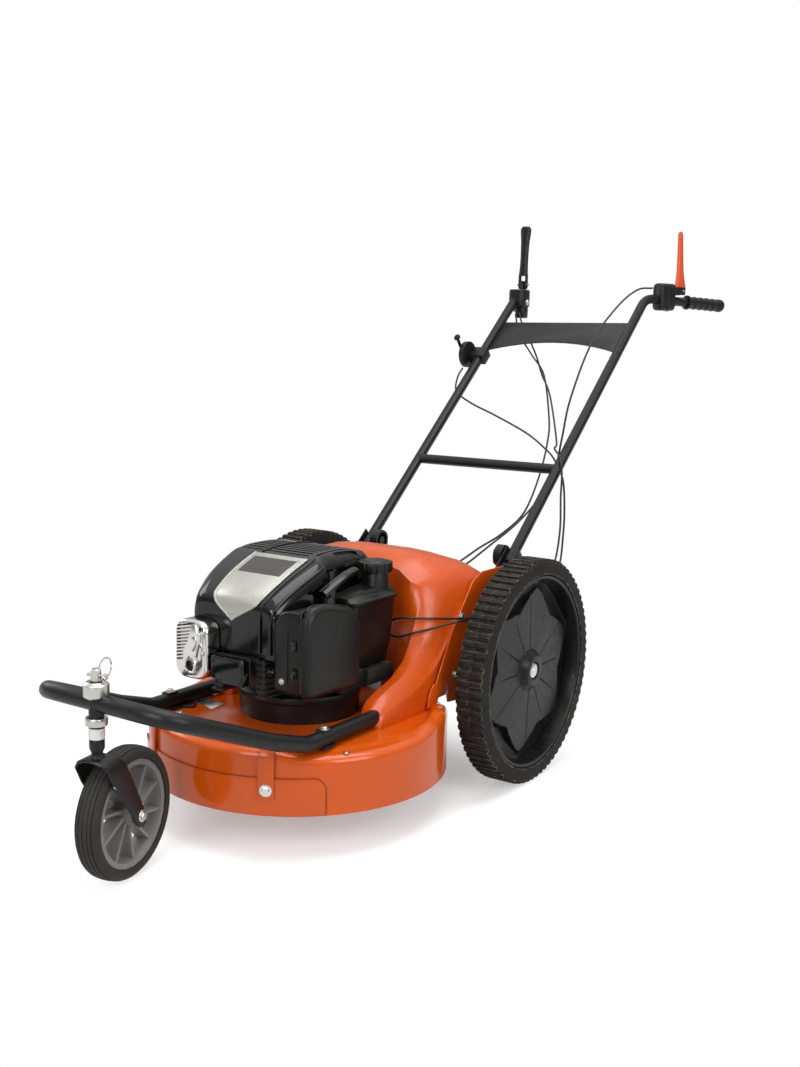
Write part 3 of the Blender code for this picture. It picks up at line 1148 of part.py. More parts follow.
def throttle():
    """The round throttle housing on the outer side of the right-hand tube, and its lever."""
    at = THROTTLE_AT
    s = (at.z - PIVOT_Z) / sin(SLOPE)
    dish = turned([(0.0, 0.018), (0.030, 0.018), (0.036, 0.014), (0.036, 0.0), (0.0, 0.0)], at, (-1.0, 0.0, 0.0), 28)
    turn = Matrix.Rotation(SLOPE, 3, "X")
    clamp = box((0.044, 0.040, 0.034), up_slope(-0.2065, s - 0.004), 0.003, turn)
    stud = rod(0.004, at + Vector((-0.016, 0.0, 0.0)), at + Vector((-0.0245, 0.0, 0.0)), 12)
    body = joined(clamp, dish, stud)
    fold = (0.0, PIVOT_Y, PIVOT_Z)
    finished(cut(body, mirrored_away(left_bar(BAR_R + GAP))), "throttle_housing", BLACK_PLASTIC, fold)

    centre = at + Vector((-0.0205, 0.0, 0.0))
    reach = Vector((0.0, -0.036, 0.046))
    outward = reach.normalized()
    side = Vector((0.0, outward.z, -outward.y))
    hub = turned([(0.011, 0.002), (0.011, -0.002), (0.004 + RUN, -0.002), (0.004 + RUN, 0.002)],
                 centre, (-1.0, 0.0, 0.0), 20, ring=True)
    turn = Matrix((Vector((1.0, 0.0, 0.0)), side, outward)).transposed()
    stick = box((0.004, 0.010, reach.length - 0.006), centre + outward * (reach.length / 2 + 0.005), 0.0, turn)
    knob = box((0.016, 0.018, 0.014), centre + reach, 0.004, turn)
    finished(joined(hub, stick, knob), "throttle_lever", BLACK_PLASTIC, centre)


def fold_joints():
    """The U brackets that carry the handlebar, with the fold bolts fixed in them, and their knobs."""
    for side, name in ((1, "left"), (-1, "right")):
        turn = Matrix.Rotation(SLOPE, 3, "X")
        at = up_slope(side * BAR_X, 0.0)
        cheeks = []
        for shift in (-CHEEK_HALF - CHEEK_T / 2, CHEEK_HALF + CHEEK_T / 2):
            cheeks.append(box((CHEEK_T, 0.100, 0.034), up_slope(side * BAR_X + shift, -0.033), 0.0, turn))
        web = box((2 * CHEEK_HALF + CHEEK_T, 0.044, 0.005), up_slope(side * BAR_X, -0.058, -0.0145), 0.0, turn)
        tie = between((PLATE_X - 0.0105, 0.052, 0.418), (PLATE_X - GAP, 0.100, 0.452))
        if side < 0:
            tie = mirrored_away(tie)
        inner_end = BAR_X - CHEEK_HALF - CHEEK_T - 0.016
        outer_end = BAR_X + CHEEK_HALF + CHEEK_T
        bolt = rod(FOLD_BOLT_R, (side * inner_end, PIVOT_Y, PIVOT_Z),
                   (side * (outer_end + 0.001), PIVOT_Y, PIVOT_Z), 16)
        head = turned([(0.0, 0.005), (0.006, 0.004), (0.009, 0.0), (0.009, -0.001), (0.0, -0.001)],
                      (side * outer_end, PIVOT_Y, PIVOT_Z), (side, 0.0, 0.0), 16)
        bracket = joined(cheeks[0], cheeks[1], web, tie, bolt, head)
        finished(bracket, f"handle_bracket_{name}", BLACK_STEEL)

        face = BAR_X - CHEEK_HALF - CHEEK_T - GAP
        lobes = 6
        rim = [(KNOB_R * (1 - 0.05 * (1 + cos(lobes * a)) / 2) * cos(a),
                KNOB_R * (1 - 0.05 * (1 + cos(lobes * a)) / 2) * sin(a)) for a in
               [2 * pi * i / 24 for i in range(24)]]
        knob = plate([rim], KNOB_W, side_plane(face - KNOB_W / 2))
        knob = moved(knob, Matrix.Translation((0.0, PIVOT_Y, PIVOT_Z)))
        bore = rod(FOLD_BOLT_R + RUN, (face - 0.017, PIVOT_Y, PIVOT_Z), (face + 0.01, PIVOT_Y, PIVOT_Z), 16)
        hollow = turned([(KNOB_R - 0.006, 0.0), (KNOB_R - 0.006, -0.012), (0.010, -0.012), (0.010, 0.0)],
                        (face - KNOB_W + 0.011, PIVOT_Y, PIVOT_Z), (1.0, 0.0, 0.0), 16, ring=True)
        knob = cut(knob, bore, hollow)
        if side < 0:
            knob = mirrored_away(knob)
        finished(knob, f"fold_knob_{name}", BLACK_PLASTIC, at)


# Control cables, each from its lever to what it works
DRIVE_ROUTE = [(0.214, 0.834, 1.128), (0.208, 0.745, 1.118), (0.206, 0.625, 1.068), (0.204, 0.487, 0.974),
               (0.202, 0.385, 0.836), (0.190, 0.372, 0.740), (0.176, 0.368, 0.664), (0.160, 0.318, 0.590),
               (0.140, 0.240, 0.532), (0.122, 0.150, 0.490), (0.106, 0.075, 0.455), (0.085, 0.010, 0.425),
               (0.060, -0.050, 0.405), (0.046, -0.085, 0.386)]
STOP_ROUTE = [(-0.184, 0.8150, 1.060), (-0.166, 0.800, 1.030), (-0.120, 0.762, 0.985), (-0.070, 0.716, 0.935),
              (-0.020, 0.655, 0.888), (0.050, 0.572, 0.834), (0.130, 0.462, 0.724), (0.178, 0.357, 0.7135),
              (0.207, 0.333, 0.6935), (0.2225, 0.314, 0.655), (0.227, 0.304, 0.600), (0.238, 0.285, 0.520),
              (0.244, 0.245, 0.440), (0.247, 0.160, 0.385), (0.248, 0.040, 0.370), (0.2475, -0.070, 0.370),
              (0.242, -0.150, 0.381), (0.226, -0.1915, 0.386), (0.204, -0.2357, 0.3907), (0.180, -0.2585, 0.3916),
              (0.1475, -0.2655, 0.389), (0.120, -0.2605, 0.378), (0.0853, -0.2570, 0.3600)]
CLUTCH_ROUTE = [(-0.196, 0.8135, 1.056), (-0.180, 0.812, 1.000), (-0.130, 0.800, 0.940), (-0.060, 0.745, 0.885),
                (0.030, 0.610, 0.778), (0.060, 0.551, 0.721), (0.098, 0.440, 0.640), (0.124, 0.316, 0.556),
                (0.118, 0.220, 0.512), (0.104, 0.130, 0.484), (0.088, 0.065, 0.457), (0.062, 0.000, 0.430),
                (0.042, -0.052, 0.405), (0.034, -0.085, 0.3865)]
THROTTLE_ROUTE = [(-0.236, 0.592, 0.900), (-0.238, 0.570, 0.874), (-0.225, 0.545, 0.836), (-0.170, 0.535, 0.806),
                  (-0.080, 0.510, 0.778), (0.030, 0.484, 0.738), (0.110, 0.440, 0.704), (0.160, 0.395, 0.682),
                  (0.196, 0.372, 0.640), (0.216, 0.348, 0.580), (0.232, 0.316, 0.510), (0.252, 0.255, 0.430),
                  (0.256, 0.160, 0.377), (0.257, 0.040, 0.360), (0.257, -0.080, 0.363), (0.250, -0.1657, 0.381),
                  (0.232, -0.2007, 0.3779), (0.208, -0.2409, 0.3697), (0.182, -0.260, 0.361),
                  (0.146, -0.2665, 0.3485), (0.116, -0.2640, 0.3500), (0.0835, -0.2640, 0.3525)]


def cables():
    for name, route in (("drive_cable", DRIVE_ROUTE), ("stop_cable", STOP_ROUTE), ("clutch_cable", CLUTCH_ROUTE),
                        ("throttle_cable", THROTTLE_ROUTE)):
        finished(tube(smooth_path(route, 2), CABLE_R, 1), name, BLACK_PLASTIC)


deck_pan()
front_skirt_panel()
engine_mount_ring()
front_frame()
caster()
for side, name in ((1, "left"), (-1, "right")):
    rear_wheel(side, name)
wheel_axle()
drive_train()
gearbox()
chassis()
belt_cover()
engine_block()
engine_small_parts()
fuel_system()
blower_housing()
handlebar()
levers()
throttle()
fold_joints()
cables()
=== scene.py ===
"""The petrol mower for high grass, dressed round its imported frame.

+Z is up, the machine faces -Y and its left side is +X. Shapes are written in millimetres in
the axle frame, whose origin lies on the ground under the rear axle. at() gives their points in
the row frame, in metres. Lamps and materials are in metres.
"""
from math import copysign, cos, hypot, pi, radians, sin, tan

import bmesh
import bpy
from mathutils import Matrix, Vector


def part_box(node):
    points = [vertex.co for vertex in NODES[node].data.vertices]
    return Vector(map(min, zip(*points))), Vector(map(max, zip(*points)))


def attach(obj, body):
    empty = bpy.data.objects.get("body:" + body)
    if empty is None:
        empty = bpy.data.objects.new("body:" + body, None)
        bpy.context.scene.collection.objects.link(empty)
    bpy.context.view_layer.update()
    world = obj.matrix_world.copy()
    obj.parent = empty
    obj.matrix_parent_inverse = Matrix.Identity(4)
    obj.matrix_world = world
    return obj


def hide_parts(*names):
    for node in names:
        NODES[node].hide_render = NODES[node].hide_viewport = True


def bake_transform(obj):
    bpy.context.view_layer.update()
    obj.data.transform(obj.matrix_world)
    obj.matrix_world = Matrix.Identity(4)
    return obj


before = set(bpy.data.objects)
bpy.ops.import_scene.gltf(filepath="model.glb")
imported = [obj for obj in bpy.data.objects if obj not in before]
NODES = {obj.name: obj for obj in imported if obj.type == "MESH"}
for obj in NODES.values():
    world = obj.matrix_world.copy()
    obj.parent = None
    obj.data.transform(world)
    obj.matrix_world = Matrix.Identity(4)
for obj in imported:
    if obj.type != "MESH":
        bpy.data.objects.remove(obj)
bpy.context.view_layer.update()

AXLE_LOW, AXLE_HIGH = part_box("wheel_axle")
AXLE_Y = (AXLE_LOW.y + AXLE_HIGH.y) / 2
WHEEL_R = (AXLE_LOW.z + AXLE_HIGH.z) / 2 * 1000
SCENE = bpy.context.scene
SIDES = ((1, "left"), (-1, "right"))
LEFT, FORWARD, UP = (1, 0, 0), (0, -1, 0), (0, 0, 1)


def mm(x, y, z):
    """A step in millimetres, in metres."""
    return Vector((x / 1000, y / 1000, z / 1000))


def at(x, y, z):
    """A point of the axle frame in the row frame."""
    return Vector((x / 1000, y / 1000 + AXLE_Y, z / 1000))


def linked(name, data):
    """A new object in the scene."""
    obj = bpy.data.objects.new(name, data)
    SCENE.collection.objects.link(obj)
    return obj


# Camera: the photograph's place, height and lens
CAMERA_AT = at(1523.3, -2312.9, 941.8)
CAMERA_RIGHT = Vector((0.8272, 0.5615, 0.0222))
CAMERA_UP = Vector((-0.1024, 0.1116, 0.9885))
CAMERA_BACK = Vector((0.5526, -0.82, 0.1498))
CAMERA_LENS = 40.53
SENSOR_WIDTH = 36


def make_camera():
    data = bpy.data.cameras.new("view")
    data.lens = CAMERA_LENS
    data.sensor_width = SENSOR_WIDTH
    data.clip_end = 200
    camera = linked("view", data)
    turn = Matrix((CAMERA_RIGHT, CAMERA_UP, CAMERA_BACK)).transposed()
    camera.matrix_world = Matrix.Translation(CAMERA_AT) @ turn.to_4x4()
    SCENE.camera = camera


def area_lamp(name, place, target, size, power):
    data = bpy.data.lights.new(name, "AREA")
    data.shape = "RECTANGLE"
    data.size = data.size_y = size
    data.energy = power
    lamp = linked(name, data)
    lamp.location = place
    lamp.rotation_euler = (Vector(target) - Vector(place)).to_track_quat("-Z", "Y").to_euler()


def srgb(red, green, blue):
    """A screen colour, 0 to 255, as linear values."""
    shares = [c / 255 for c in (red, green, blue)]
    return tuple(c / 12.92 if c <= 0.0393 else ((c + 0.055) / 1.055) ** 2.4 for c in shares)


def shade(colour, factor=1):
    """A linear colour, lighter or darker, for a socket."""
    return (*[min(1, c * factor) for c in colour], 1)


class Graph:
    """The nodes of a material or of the world."""

    def __init__(self, made):
        made.use_nodes = True
        self.made = made
        self.tree = made.node_tree
        self.shader = self.tree.nodes.get("Principled BSDF")

    def node(self, kind, inputs=None, out=0, **settings):
        """One output of a new node, or all of them where out is None."""
        made = self.tree.nodes.new("ShaderNode" + kind)
        for key, value in settings.items():
            setattr(made, key, value)
        for key, value in (inputs or {}).items():
            self.give(made.inputs[key], value)
        return made.outputs if out is None else made.outputs[out]

    def give(self, socket, value):
        if isinstance(value, bpy.types.NodeSocket):
            self.tree.links.new(value, socket)
        else:
            socket.default_value = value

    def shade_with(self, **values):
        """Values for the shader's inputs, with _ for a space in their names."""
        for key, value in values.items():
            self.give(self.shader.inputs[key.replace("_", " ")], value)

    def place(self):
        return self.node("TexCoord", out="Object")

    def noise(self, scale, detail=3, rough=0.5, stretch=None):
        where = self.place()
        if stretch:
            where = self.node("Mapping", {"Vector": where, "Scale": stretch})
        inputs = {"Vector": where, "Scale": scale, "Detail": detail, "Roughness": rough}
        return self.node("TexNoise", inputs, "Fac")

    def ramp(self, value, low, high, start=0, end=1, **settings):
        inputs = {"Value": value, "From Min": low, "From Max": high, "To Min": start, "To Max": end}
        return self.node("MapRange", inputs, **settings)

    def maths(self, operation, a, b):
        return self.node("Math", {0: a, 1: b}, operation=operation)

    def vector(self, operation, out, *values):
        return self.node("VectorMath", dict(enumerate(values)), out, operation=operation)

    def mix(self, share, a, b):
        return self.node("Mix", {"Factor": share, 6: a, 7: b}, 2, data_type="RGBA")

    def edges(self, radius):
        """1 along sharp edges and 0 on the flat."""
        soft = self.node("Bevel", {"Radius": radius}, samples=4)
        hard = self.node("NewGeometry", out="Normal")
        return self.ramp(self.vector("DOT_PRODUCT", "Value", soft, hard), 0.995, 0.9)

    def upward(self):
        """1 on faces that look up and 0 on those that stand."""
        normal = self.node("NewGeometry", out="Normal")
        return self.ramp(self.node("SeparateXYZ", {0: normal}, "Z"), 0.35, 1)


def make_world(strength, low_gloss):
    """A grey studio, white to the camera and glass, and brighter above for gloss."""
    world = bpy.data.worlds.new("studio")
    SCENE.world = world
    g = Graph(world)
    g.tree.nodes.clear()
    path = g.node("LightPath", out=None)
    height = g.node("SeparateXYZ", {0: g.node("TexCoord", out="Generated")}, "Z")
    made, gloss, white = [g.node("Background", {"Color": (1, 1, 1, 1), "Strength": level})
                          for level in (strength, g.ramp(height, 0.15, 0.75, low_gloss), 1)]
    for ray, light in (("Glossy", gloss), ("Transmission", white), ("Camera", white)):
        made = g.node("MixShader", {0: path[f"Is {ray} Ray"], 1: made, 2: light})
    g.node("OutputWorld", {"Surface": made}, out=None)


def finish(name, colour, rough, specular, vary, grain, bumpy, metal=0, coat=0, spread=0.08,
           depth=0.0004, wear=None, dust=0, dust_colour=(0.42, 0.38, 0.32), stretch=None, flake=0):
    """A material with uneven colour and gloss, a fine grain, worn edges and a little dust.

    colour is a screen colour, and wear is one with its share.
    """
    g = Graph(bpy.data.materials.new(name))
    colour = srgb(*colour)
    broad = g.noise(9, 4, 0.55)
    fine = g.noise(70, 5, 0.6)
    base = g.mix(g.ramp(broad, 0.3, 0.7), shade(colour, 1 - vary), shade(colour, 1 + vary))
    if flake:
        base = g.mix(g.ramp(g.noise(2600, 1), 0.45, 0.75, 0, flake), base, shade(colour, 1.5))
    if wear:
        rubbed = g.maths("MULTIPLY", g.edges(0.0016), g.ramp(fine, 0.42, 0.66, 0, wear[3]))
        base = g.mix(rubbed, base, shade(srgb(*wear[:3])))
    if dust:
        settled = g.maths("MULTIPLY", g.upward(), g.ramp(g.noise(38, 6, 0.65), 0.44, 0.8, 0, dust))
        base = g.mix(settled, base, shade(dust_colour))
    gloss = g.ramp(fine, 0.3, 0.7, max(0.02, rough - spread), min(1, rough + spread))
    height = g.noise(grain, 2, 0.5, stretch)
    relief = g.node("Bump", {"Height": height, "Strength": bumpy, "Distance": depth})
    g.shade_with(Base_Color=base, Roughness=gloss, Metallic=metal, Specular_IOR_Level=specular, Normal=relief)
    if coat:
        g.shade_with(Coat_Weight=coat, Coat_Roughness=0.06)
    return g.made


# Materials: screen colour, roughness, specular, unevenness, size and height of the grain
PAINT = finish("orange_paint", (200, 80, 9), 0.18, 0.32, 0.04, 1500, 0.02, coat=0.25, spread=0.04,
               wear=(224, 128, 76, 0.12))
HOOD = finish("orange_hood", (192, 74, 8), 0.3, 0.48, 0.04, 800, 0.01, spread=0.05)
POWDER = finish("black_powder_coat", (19, 19, 20), 0.38, 0.3, 0.15, 1300, 0.15, wear=(84, 82, 80, 0.3))
PLASTIC = finish("black_plastic", (13, 13, 12), 0.36, 0.3, 0.12, 1700, 0.16, wear=(58, 58, 56, 0.25),
                 dust=0.04)
GLOSS = finish("gloss_black_plastic", (6, 6, 7), 0.13, 0.42, 0.1, 300, 0.02, spread=0.04,
               wear=(48, 48, 50, 0.22), dust=0.03)
GREY = finish("grey_plastic", (126, 125, 123), 0.46, 0.4, 0.06, 1500, 0.15, wear=(158, 157, 154, 0.5),
              dust=0.06)
SHEET = finish("grey_sheet", (34, 34, 34), 0.44, 0.22, 0.08, 1200, 0.12, wear=(90, 90, 88, 0.3))
WHITE = finish("white_plastic", (226, 227, 222), 0.42, 0.5, 0.03, 1400, 0.08)
SILVER = finish("silver_lacquer", (172, 172, 164), 0.34, 0.5, 0.04, 2200, 0.08, metal=0.45,
                wear=(214, 214, 208, 0.3), flake=0.3)
LEVER = finish("orange_plastic", (206, 74, 30), 0.4, 0.5, 0.05, 1500, 0.1, wear=(236, 146, 106, 0.3))
RUBBER = finish("tyre_rubber", (26, 24, 22), 0.74, 0.25, 0.25, 700, 0.35, depth=0.0006,
                wear=(176, 156, 124, 0.85), dust=0.22, dust_colour=srgb(112, 98, 74))
CASTER_RUBBER = finish("caster_rubber", (46, 45, 42), 0.66, 0.25, 0.15, 700, 0.3,
                       wear=(96, 94, 88, 0.5), dust=0.25, dust_colour=srgb(104, 90, 66))
BELT = finish("belt_rubber", (24, 24, 24), 0.7, 0.25, 0.1, 900, 0.3)
ZINC = finish("zinc", (196, 197, 190), 0.3, 0.5, 0.08, 1400, 0.12, metal=0.95, wear=(225, 225, 220, 0.5))
BRIGHT = finish("bright_steel", (214, 213, 208), 0.14, 0.5, 0.05, 500, 0.06, metal=1, spread=0.06,
                wear=(240, 240, 238, 0.5))
STEEL = finish("steel", (150, 150, 152), 0.32, 0.5, 0.1, 500, 0.12, metal=1, stretch=(1, 1, 6),
               wear=(200, 200, 200, 0.5))
CAST = finish("cast_aluminium", (150, 150, 148), 0.55, 0.5, 0.12, 900, 0.45, metal=0.85, depth=0.0008,
              wear=(205, 205, 202, 0.5))
BLACK_CAST = finish("black_cast_metal", (26, 26, 27), 0.48, 0.35, 0.15, 800, 0.4, depth=0.0006,
                    wear=(90, 90, 90, 0.5), dust=0.15)
RIM = finish("rim_plastic", (17, 17, 19), 0.32, 0.24, 0.1, 1500, 0.1, wear=(66, 66, 68, 0.35), dust=0.03)
FIELD = finish("dark_field", (58, 55, 53), 0.34, 0.5, 0.04, 1800, 0.04, metal=0.1)
FOAM = finish("filter_foam", (70, 70, 64), 0.95, 0.1, 0.2, 600, 0.9, depth=0.0015)
CABLE = finish("cable_sheath", (17, 15, 15), 0.38, 0.4, 0.1, 900, 0.1)

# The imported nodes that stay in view, by material and width of the broken edges
NODE_FINISH = [
    (PAINT, 0.6, "chassis"),
    (HOOD, 0, "belt_cover"),
    (POWDER, 1.2, "engine_mount_ring"),
    (POWDER, 0, "handlebar"),
    (POWDER, 1, "handle_bracket_left", "handle_bracket_right"),
    (PLASTIC, 3, "air_filter_cover", "fuel_tank"),
    (PLASTIC, 1.2, "fuel_cap"),
    (PLASTIC, 1.5, "starter_grip", "throttle_housing"),
    (PLASTIC, 1.6, "throttle_lever"),
    (PLASTIC, 0, "fold_knob_left", "fold_knob_right"),
    (GLOSS, 0, "dipstick"),
    (GREY, 0, "caster_rim"),
    (SHEET, 0.6, "handlebar_plate"),
    (BELT, 0, "drive_belt"),
    (ZINC, 0.6, "bearing_cup"),
    (ZINC, 0, "caster_axle_bolt"),
    (BRIGHT, 0, "linch_pin"),
    (STEEL, 0, "wheel_axle", "crankshaft", "gearbox_pulley", "blade_boss", "blade", "spark_plug"),
    (CAST, 0, "gearbox", "carburettor", "flywheel"),
    (BLACK_CAST, 0.6, "engine_block"),
    (FOAM, 0, "air_filter_element"),
]


def node_group(name):
    group = bpy.data.node_groups.new(name, "GeometryNodeTree")
    for way in ("INPUT", "OUTPUT"):
        group.interface.new_socket("Geometry", in_out=way, socket_type="NodeSocketGeometry")
    return group, group.nodes.new, group.links.new


def weld_group():
    """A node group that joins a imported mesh's facets."""
    group, new, link = node_group("weld")
    start, end = new("NodeGroupInput"), new("NodeGroupOutput")
    bare = new("GeometryNodeRemoveAttribute")
    bare.inputs["Name"].default_value = "custom_normal"
    weld = new("GeometryNodeMergeByDistance")
    weld.inputs["Distance"].default_value = 0.00002
    link(start.outputs[0], bare.inputs["Geometry"])
    link(bare.outputs[0], weld.inputs["Geometry"])
    link(weld.outputs[0], end.inputs[0])
    return group


def smooth_group():
    """A node group that smooths all but a mesh's sharp edges."""
    group, new, link = node_group("smooth_by_angle")
    group.interface.new_socket("Angle", in_out="INPUT", socket_type="NodeSocketFloat")
    start, end = new("NodeGroupInput"), new("NodeGroupOutput")
    faces, edges = new("GeometryNodeSetShadeSmooth"), new("GeometryNodeSetShadeSmooth")
    faces.domain, edges.domain = "FACE", "EDGE"
    edges.inputs["Shade Smooth"].default_value = False
    sharp = new("FunctionNodeCompare")
    link(start.outputs[0], faces.inputs["Geometry"])
    link(faces.outputs[0], edges.inputs["Geometry"])
    link(new("GeometryNodeInputMeshEdgeAngle").outputs["Unsigned Angle"], sharp.inputs[0])
    link(start.outputs[1], sharp.inputs[1])
    link(sharp.outputs[0], edges.inputs["Selection"])
    link(edges.outputs[0], end.inputs[0])
    return group


WELD = weld_group()
SMOOTH = smooth_group()
SMOOTH_ANGLE = [s for s in SMOOTH.interface.items_tree if s.name == "Angle"][0].identifier


def smoothed(obj, angle=35, bevel=0, packed=True):
    """Soft shading over an object's facets, with its sharp edges lightly broken."""
    if packed:
        obj.modifiers.new("weld", "NODES").node_group = WELD
    if bevel:
        edge = obj.modifiers.new("edges", "BEVEL")
        edge.width = bevel / 1000
        edge.segments = 2
        edge.limit_method = "ANGLE"
        edge.angle_limit = radians(angle + 3)
    shading = obj.modifiers.new("shading", "NODES")
    shading.node_group = SMOOTH
    shading[SMOOTH_ANGLE] = radians(angle)


def give_material(obj, made):
    obj.data.materials.clear()
    obj.data.materials.append(made)


def piece(name, mesh, made, *stands_for, body="machine", smooth=35, bevel=0):
    """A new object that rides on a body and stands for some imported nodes."""
    obj = linked(name, mesh)
    give_material(obj, made)
    smoothed(obj, smooth, bevel, packed=False)
    if body:
        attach(obj, body)
    if stands_for:
        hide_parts(*stands_for)
    return obj


def spline(points, steps):
    """Points on a smooth line through all of the given ones but the first and the last."""
    line = []
    for a, b, c, d in zip(points, points[1:], points[2:], points[3:]):
        for i in range(steps):
            t = i / steps
            line.append(0.5 * (2 * b + (c - a) * t + (2 * a - 5 * b + 4 * c - d) * t * t
                               + (3 * b - a - 3 * c + d) * t ** 3))
    return line + [points[-2]]


def curved(points, steps):
    """A smooth line through points, whose ends run straight on."""
    first, second, *_ = points
    return spline([2 * first - second, *points, 2 * points[-1] - points[-2]], steps)


def refined(rows, steps):
    """Rows of numbers with eased rows between them."""
    rows = [Vector(row) for row in rows]
    return spline([rows[0], *rows, rows[-1]], steps)


def mesh_of(bm, mend=True):
    if mend:
        bmesh.ops.remove_doubles(bm, verts=bm.verts, dist=0.00001)
        bmesh.ops.recalc_face_normals(bm, faces=bm.faces)
    mesh = bpy.data.meshes.new("shape")
    bm.to_mesh(mesh)
    bm.free()
    return mesh


def lofted(sections, closed=False):
    """A skin over sections of equal numbers of points, each a closed loop."""
    bm = bmesh.new()
    rings = [[bm.verts.new(p) for p in section] for section in sections]
    if closed:
        rings.append(rings[0])
    else:
        bm.faces.new(rings[0][::-1])
        bm.faces.new(rings[-1])
    for low, high in zip(rings, rings[1:]):
        for corners in zip(low, low[1:] + low[:1], high[1:] + high[:1], high):
            bm.faces.new(corners)
    return mesh_of(bm)


def sheet(rows, outward):
    """An open sheet through rows of points, its faces turned to a side."""
    bm = bmesh.new()
    grid = [[bm.verts.new(p) for p in row] for row in rows]
    for low, high in zip(grid, grid[1:]):
        for corners in zip(low, low[1:], high[1:], high):
            bm.faces.new(corners)
    mesh = mesh_of(bm)
    if mesh.polygons[len(mesh.polygons) // 2].normal.dot(Vector(outward)) < 0:
        mesh.flip_normals()
    return mesh


def in_threes(line):
    """Each point of a line, with the ones before and after it."""
    return zip(line, line[:1] + line, line[1:] + line[-1:])


def tube_mesh(line, radius, sides):
    """A closed round tube along a line, with one radius or a list of them."""
    radii = radius if isinstance(radius, list) else [radius] * len(line)
    rings = []
    side = (line[1] - line[0]).normalized().orthogonal().normalized()
    for (point, before, after), size in zip(in_threes(line), radii):
        ahead = (after - before).normalized()
        side = (side - ahead * side.dot(ahead)).normalized()
        other = ahead.cross(side)
        turns = [2 * pi * k / sides for k in range(sides)]
        rings.append([point + (side * cos(a) + other * sin(a)) * size / 1000 for a in turns])
    return lofted(rings)


def lathe(profile, place, direction, steps=48):
    """A closed profile of (radius, height) turned about a line."""
    turn = Vector(direction).to_track_quat("Z", "Y").to_matrix()
    sections = []
    for i in range(steps):
        a = 2 * pi * i / steps
        sections.append([place + turn @ mm(r * cos(a), r * sin(a), h) for r, h in profile])
    return lofted(sections, closed=True)


def rod(radius, low, high, place, direction, steps=20):
    """A plain round bar from one height to another above a place."""
    return lathe([(0, low), (radius, low), (radius, high), (0, high)], place, direction, steps)


def joined(*meshes):
    bm = bmesh.new()
    for mesh in meshes:
        bm.from_mesh(mesh)
    return mesh_of(bm, mend=False)


def block(size, centre, turn=None):
    """A box, to be bevelled."""
    bm = bmesh.new()
    bmesh.ops.create_cube(bm, size=1, matrix=Matrix.Diagonal((*mm(*size), 1)))
    place = Matrix.Translation(centre) @ (turn or Matrix.Identity(3)).to_4x4()
    bmesh.ops.transform(bm, matrix=place, verts=bm.verts)
    return mesh_of(bm)


def turned(degrees, axis):
    return Matrix.Rotation(radians(degrees), 3, axis)


def prism(outline, thickness, matrix):
    """A flat plate from an outline in its own plane."""
    return lofted([[matrix @ mm(x, y, z) for x, y in outline] for z in (-thickness / 2, thickness / 2)])


def cut(mesh, *cutters, wall=0):
    """A mesh, thickened inwards where it is a sheet, less other meshes."""
    base = linked("base", mesh)
    if wall:
        solidify = base.modifiers.new("wall", "SOLIDIFY")
        solidify.thickness = wall / 1000
        solidify.offset = -1
    tools = [linked("cutter", cutter) for cutter in cutters]
    for tool in tools:
        modifier = base.modifiers.new("cut", "BOOLEAN")
        modifier.object = tool
    bpy.context.view_layer.update()
    result = bpy.data.meshes.new_from_object(base.evaluated_get(bpy.context.evaluated_depsgraph_get()))
    for obj in [base] + tools:
        bpy.data.objects.remove(obj, do_unlink=True)
    return result


def bead_or_shade_line(name, line, radius, made, sides=8):
    """A thin raised line, or a dark line that paints the shade in a groove or gap."""
    piece(name, tube_mesh(line, radius, sides), made, smooth=60)


def bolt(name, place, direction, radius=6.5, height=5, washer=10.5, made=ZINC, body="machine"):
    """A hexagon head with its chamfer, on a washer."""
    under = rod(washer, 0, 1.2, place, direction, 28)
    head = [(0, 1), (radius, 1), (radius, height - 0.6), (radius * 0.86, height), (0, height)]
    piece(name, joined(under, lathe(head, place, direction, 6)), made, body=body, smooth=25, bevel=0.3)


def ease(t):
    return t * t * (3 - 2 * t)


def straight(t):
    return t


def between_values(table, where, way=ease):
    """The value at a place in a table, eased between its entries."""
    if where <= table[0][0]:
        return table[0][1]
    for (a, low), (b, high) in zip(table, table[1:]):
        if where <= b:
            return low + (high - low) * way((where - a) / (b - a))
    return table[-1][1]


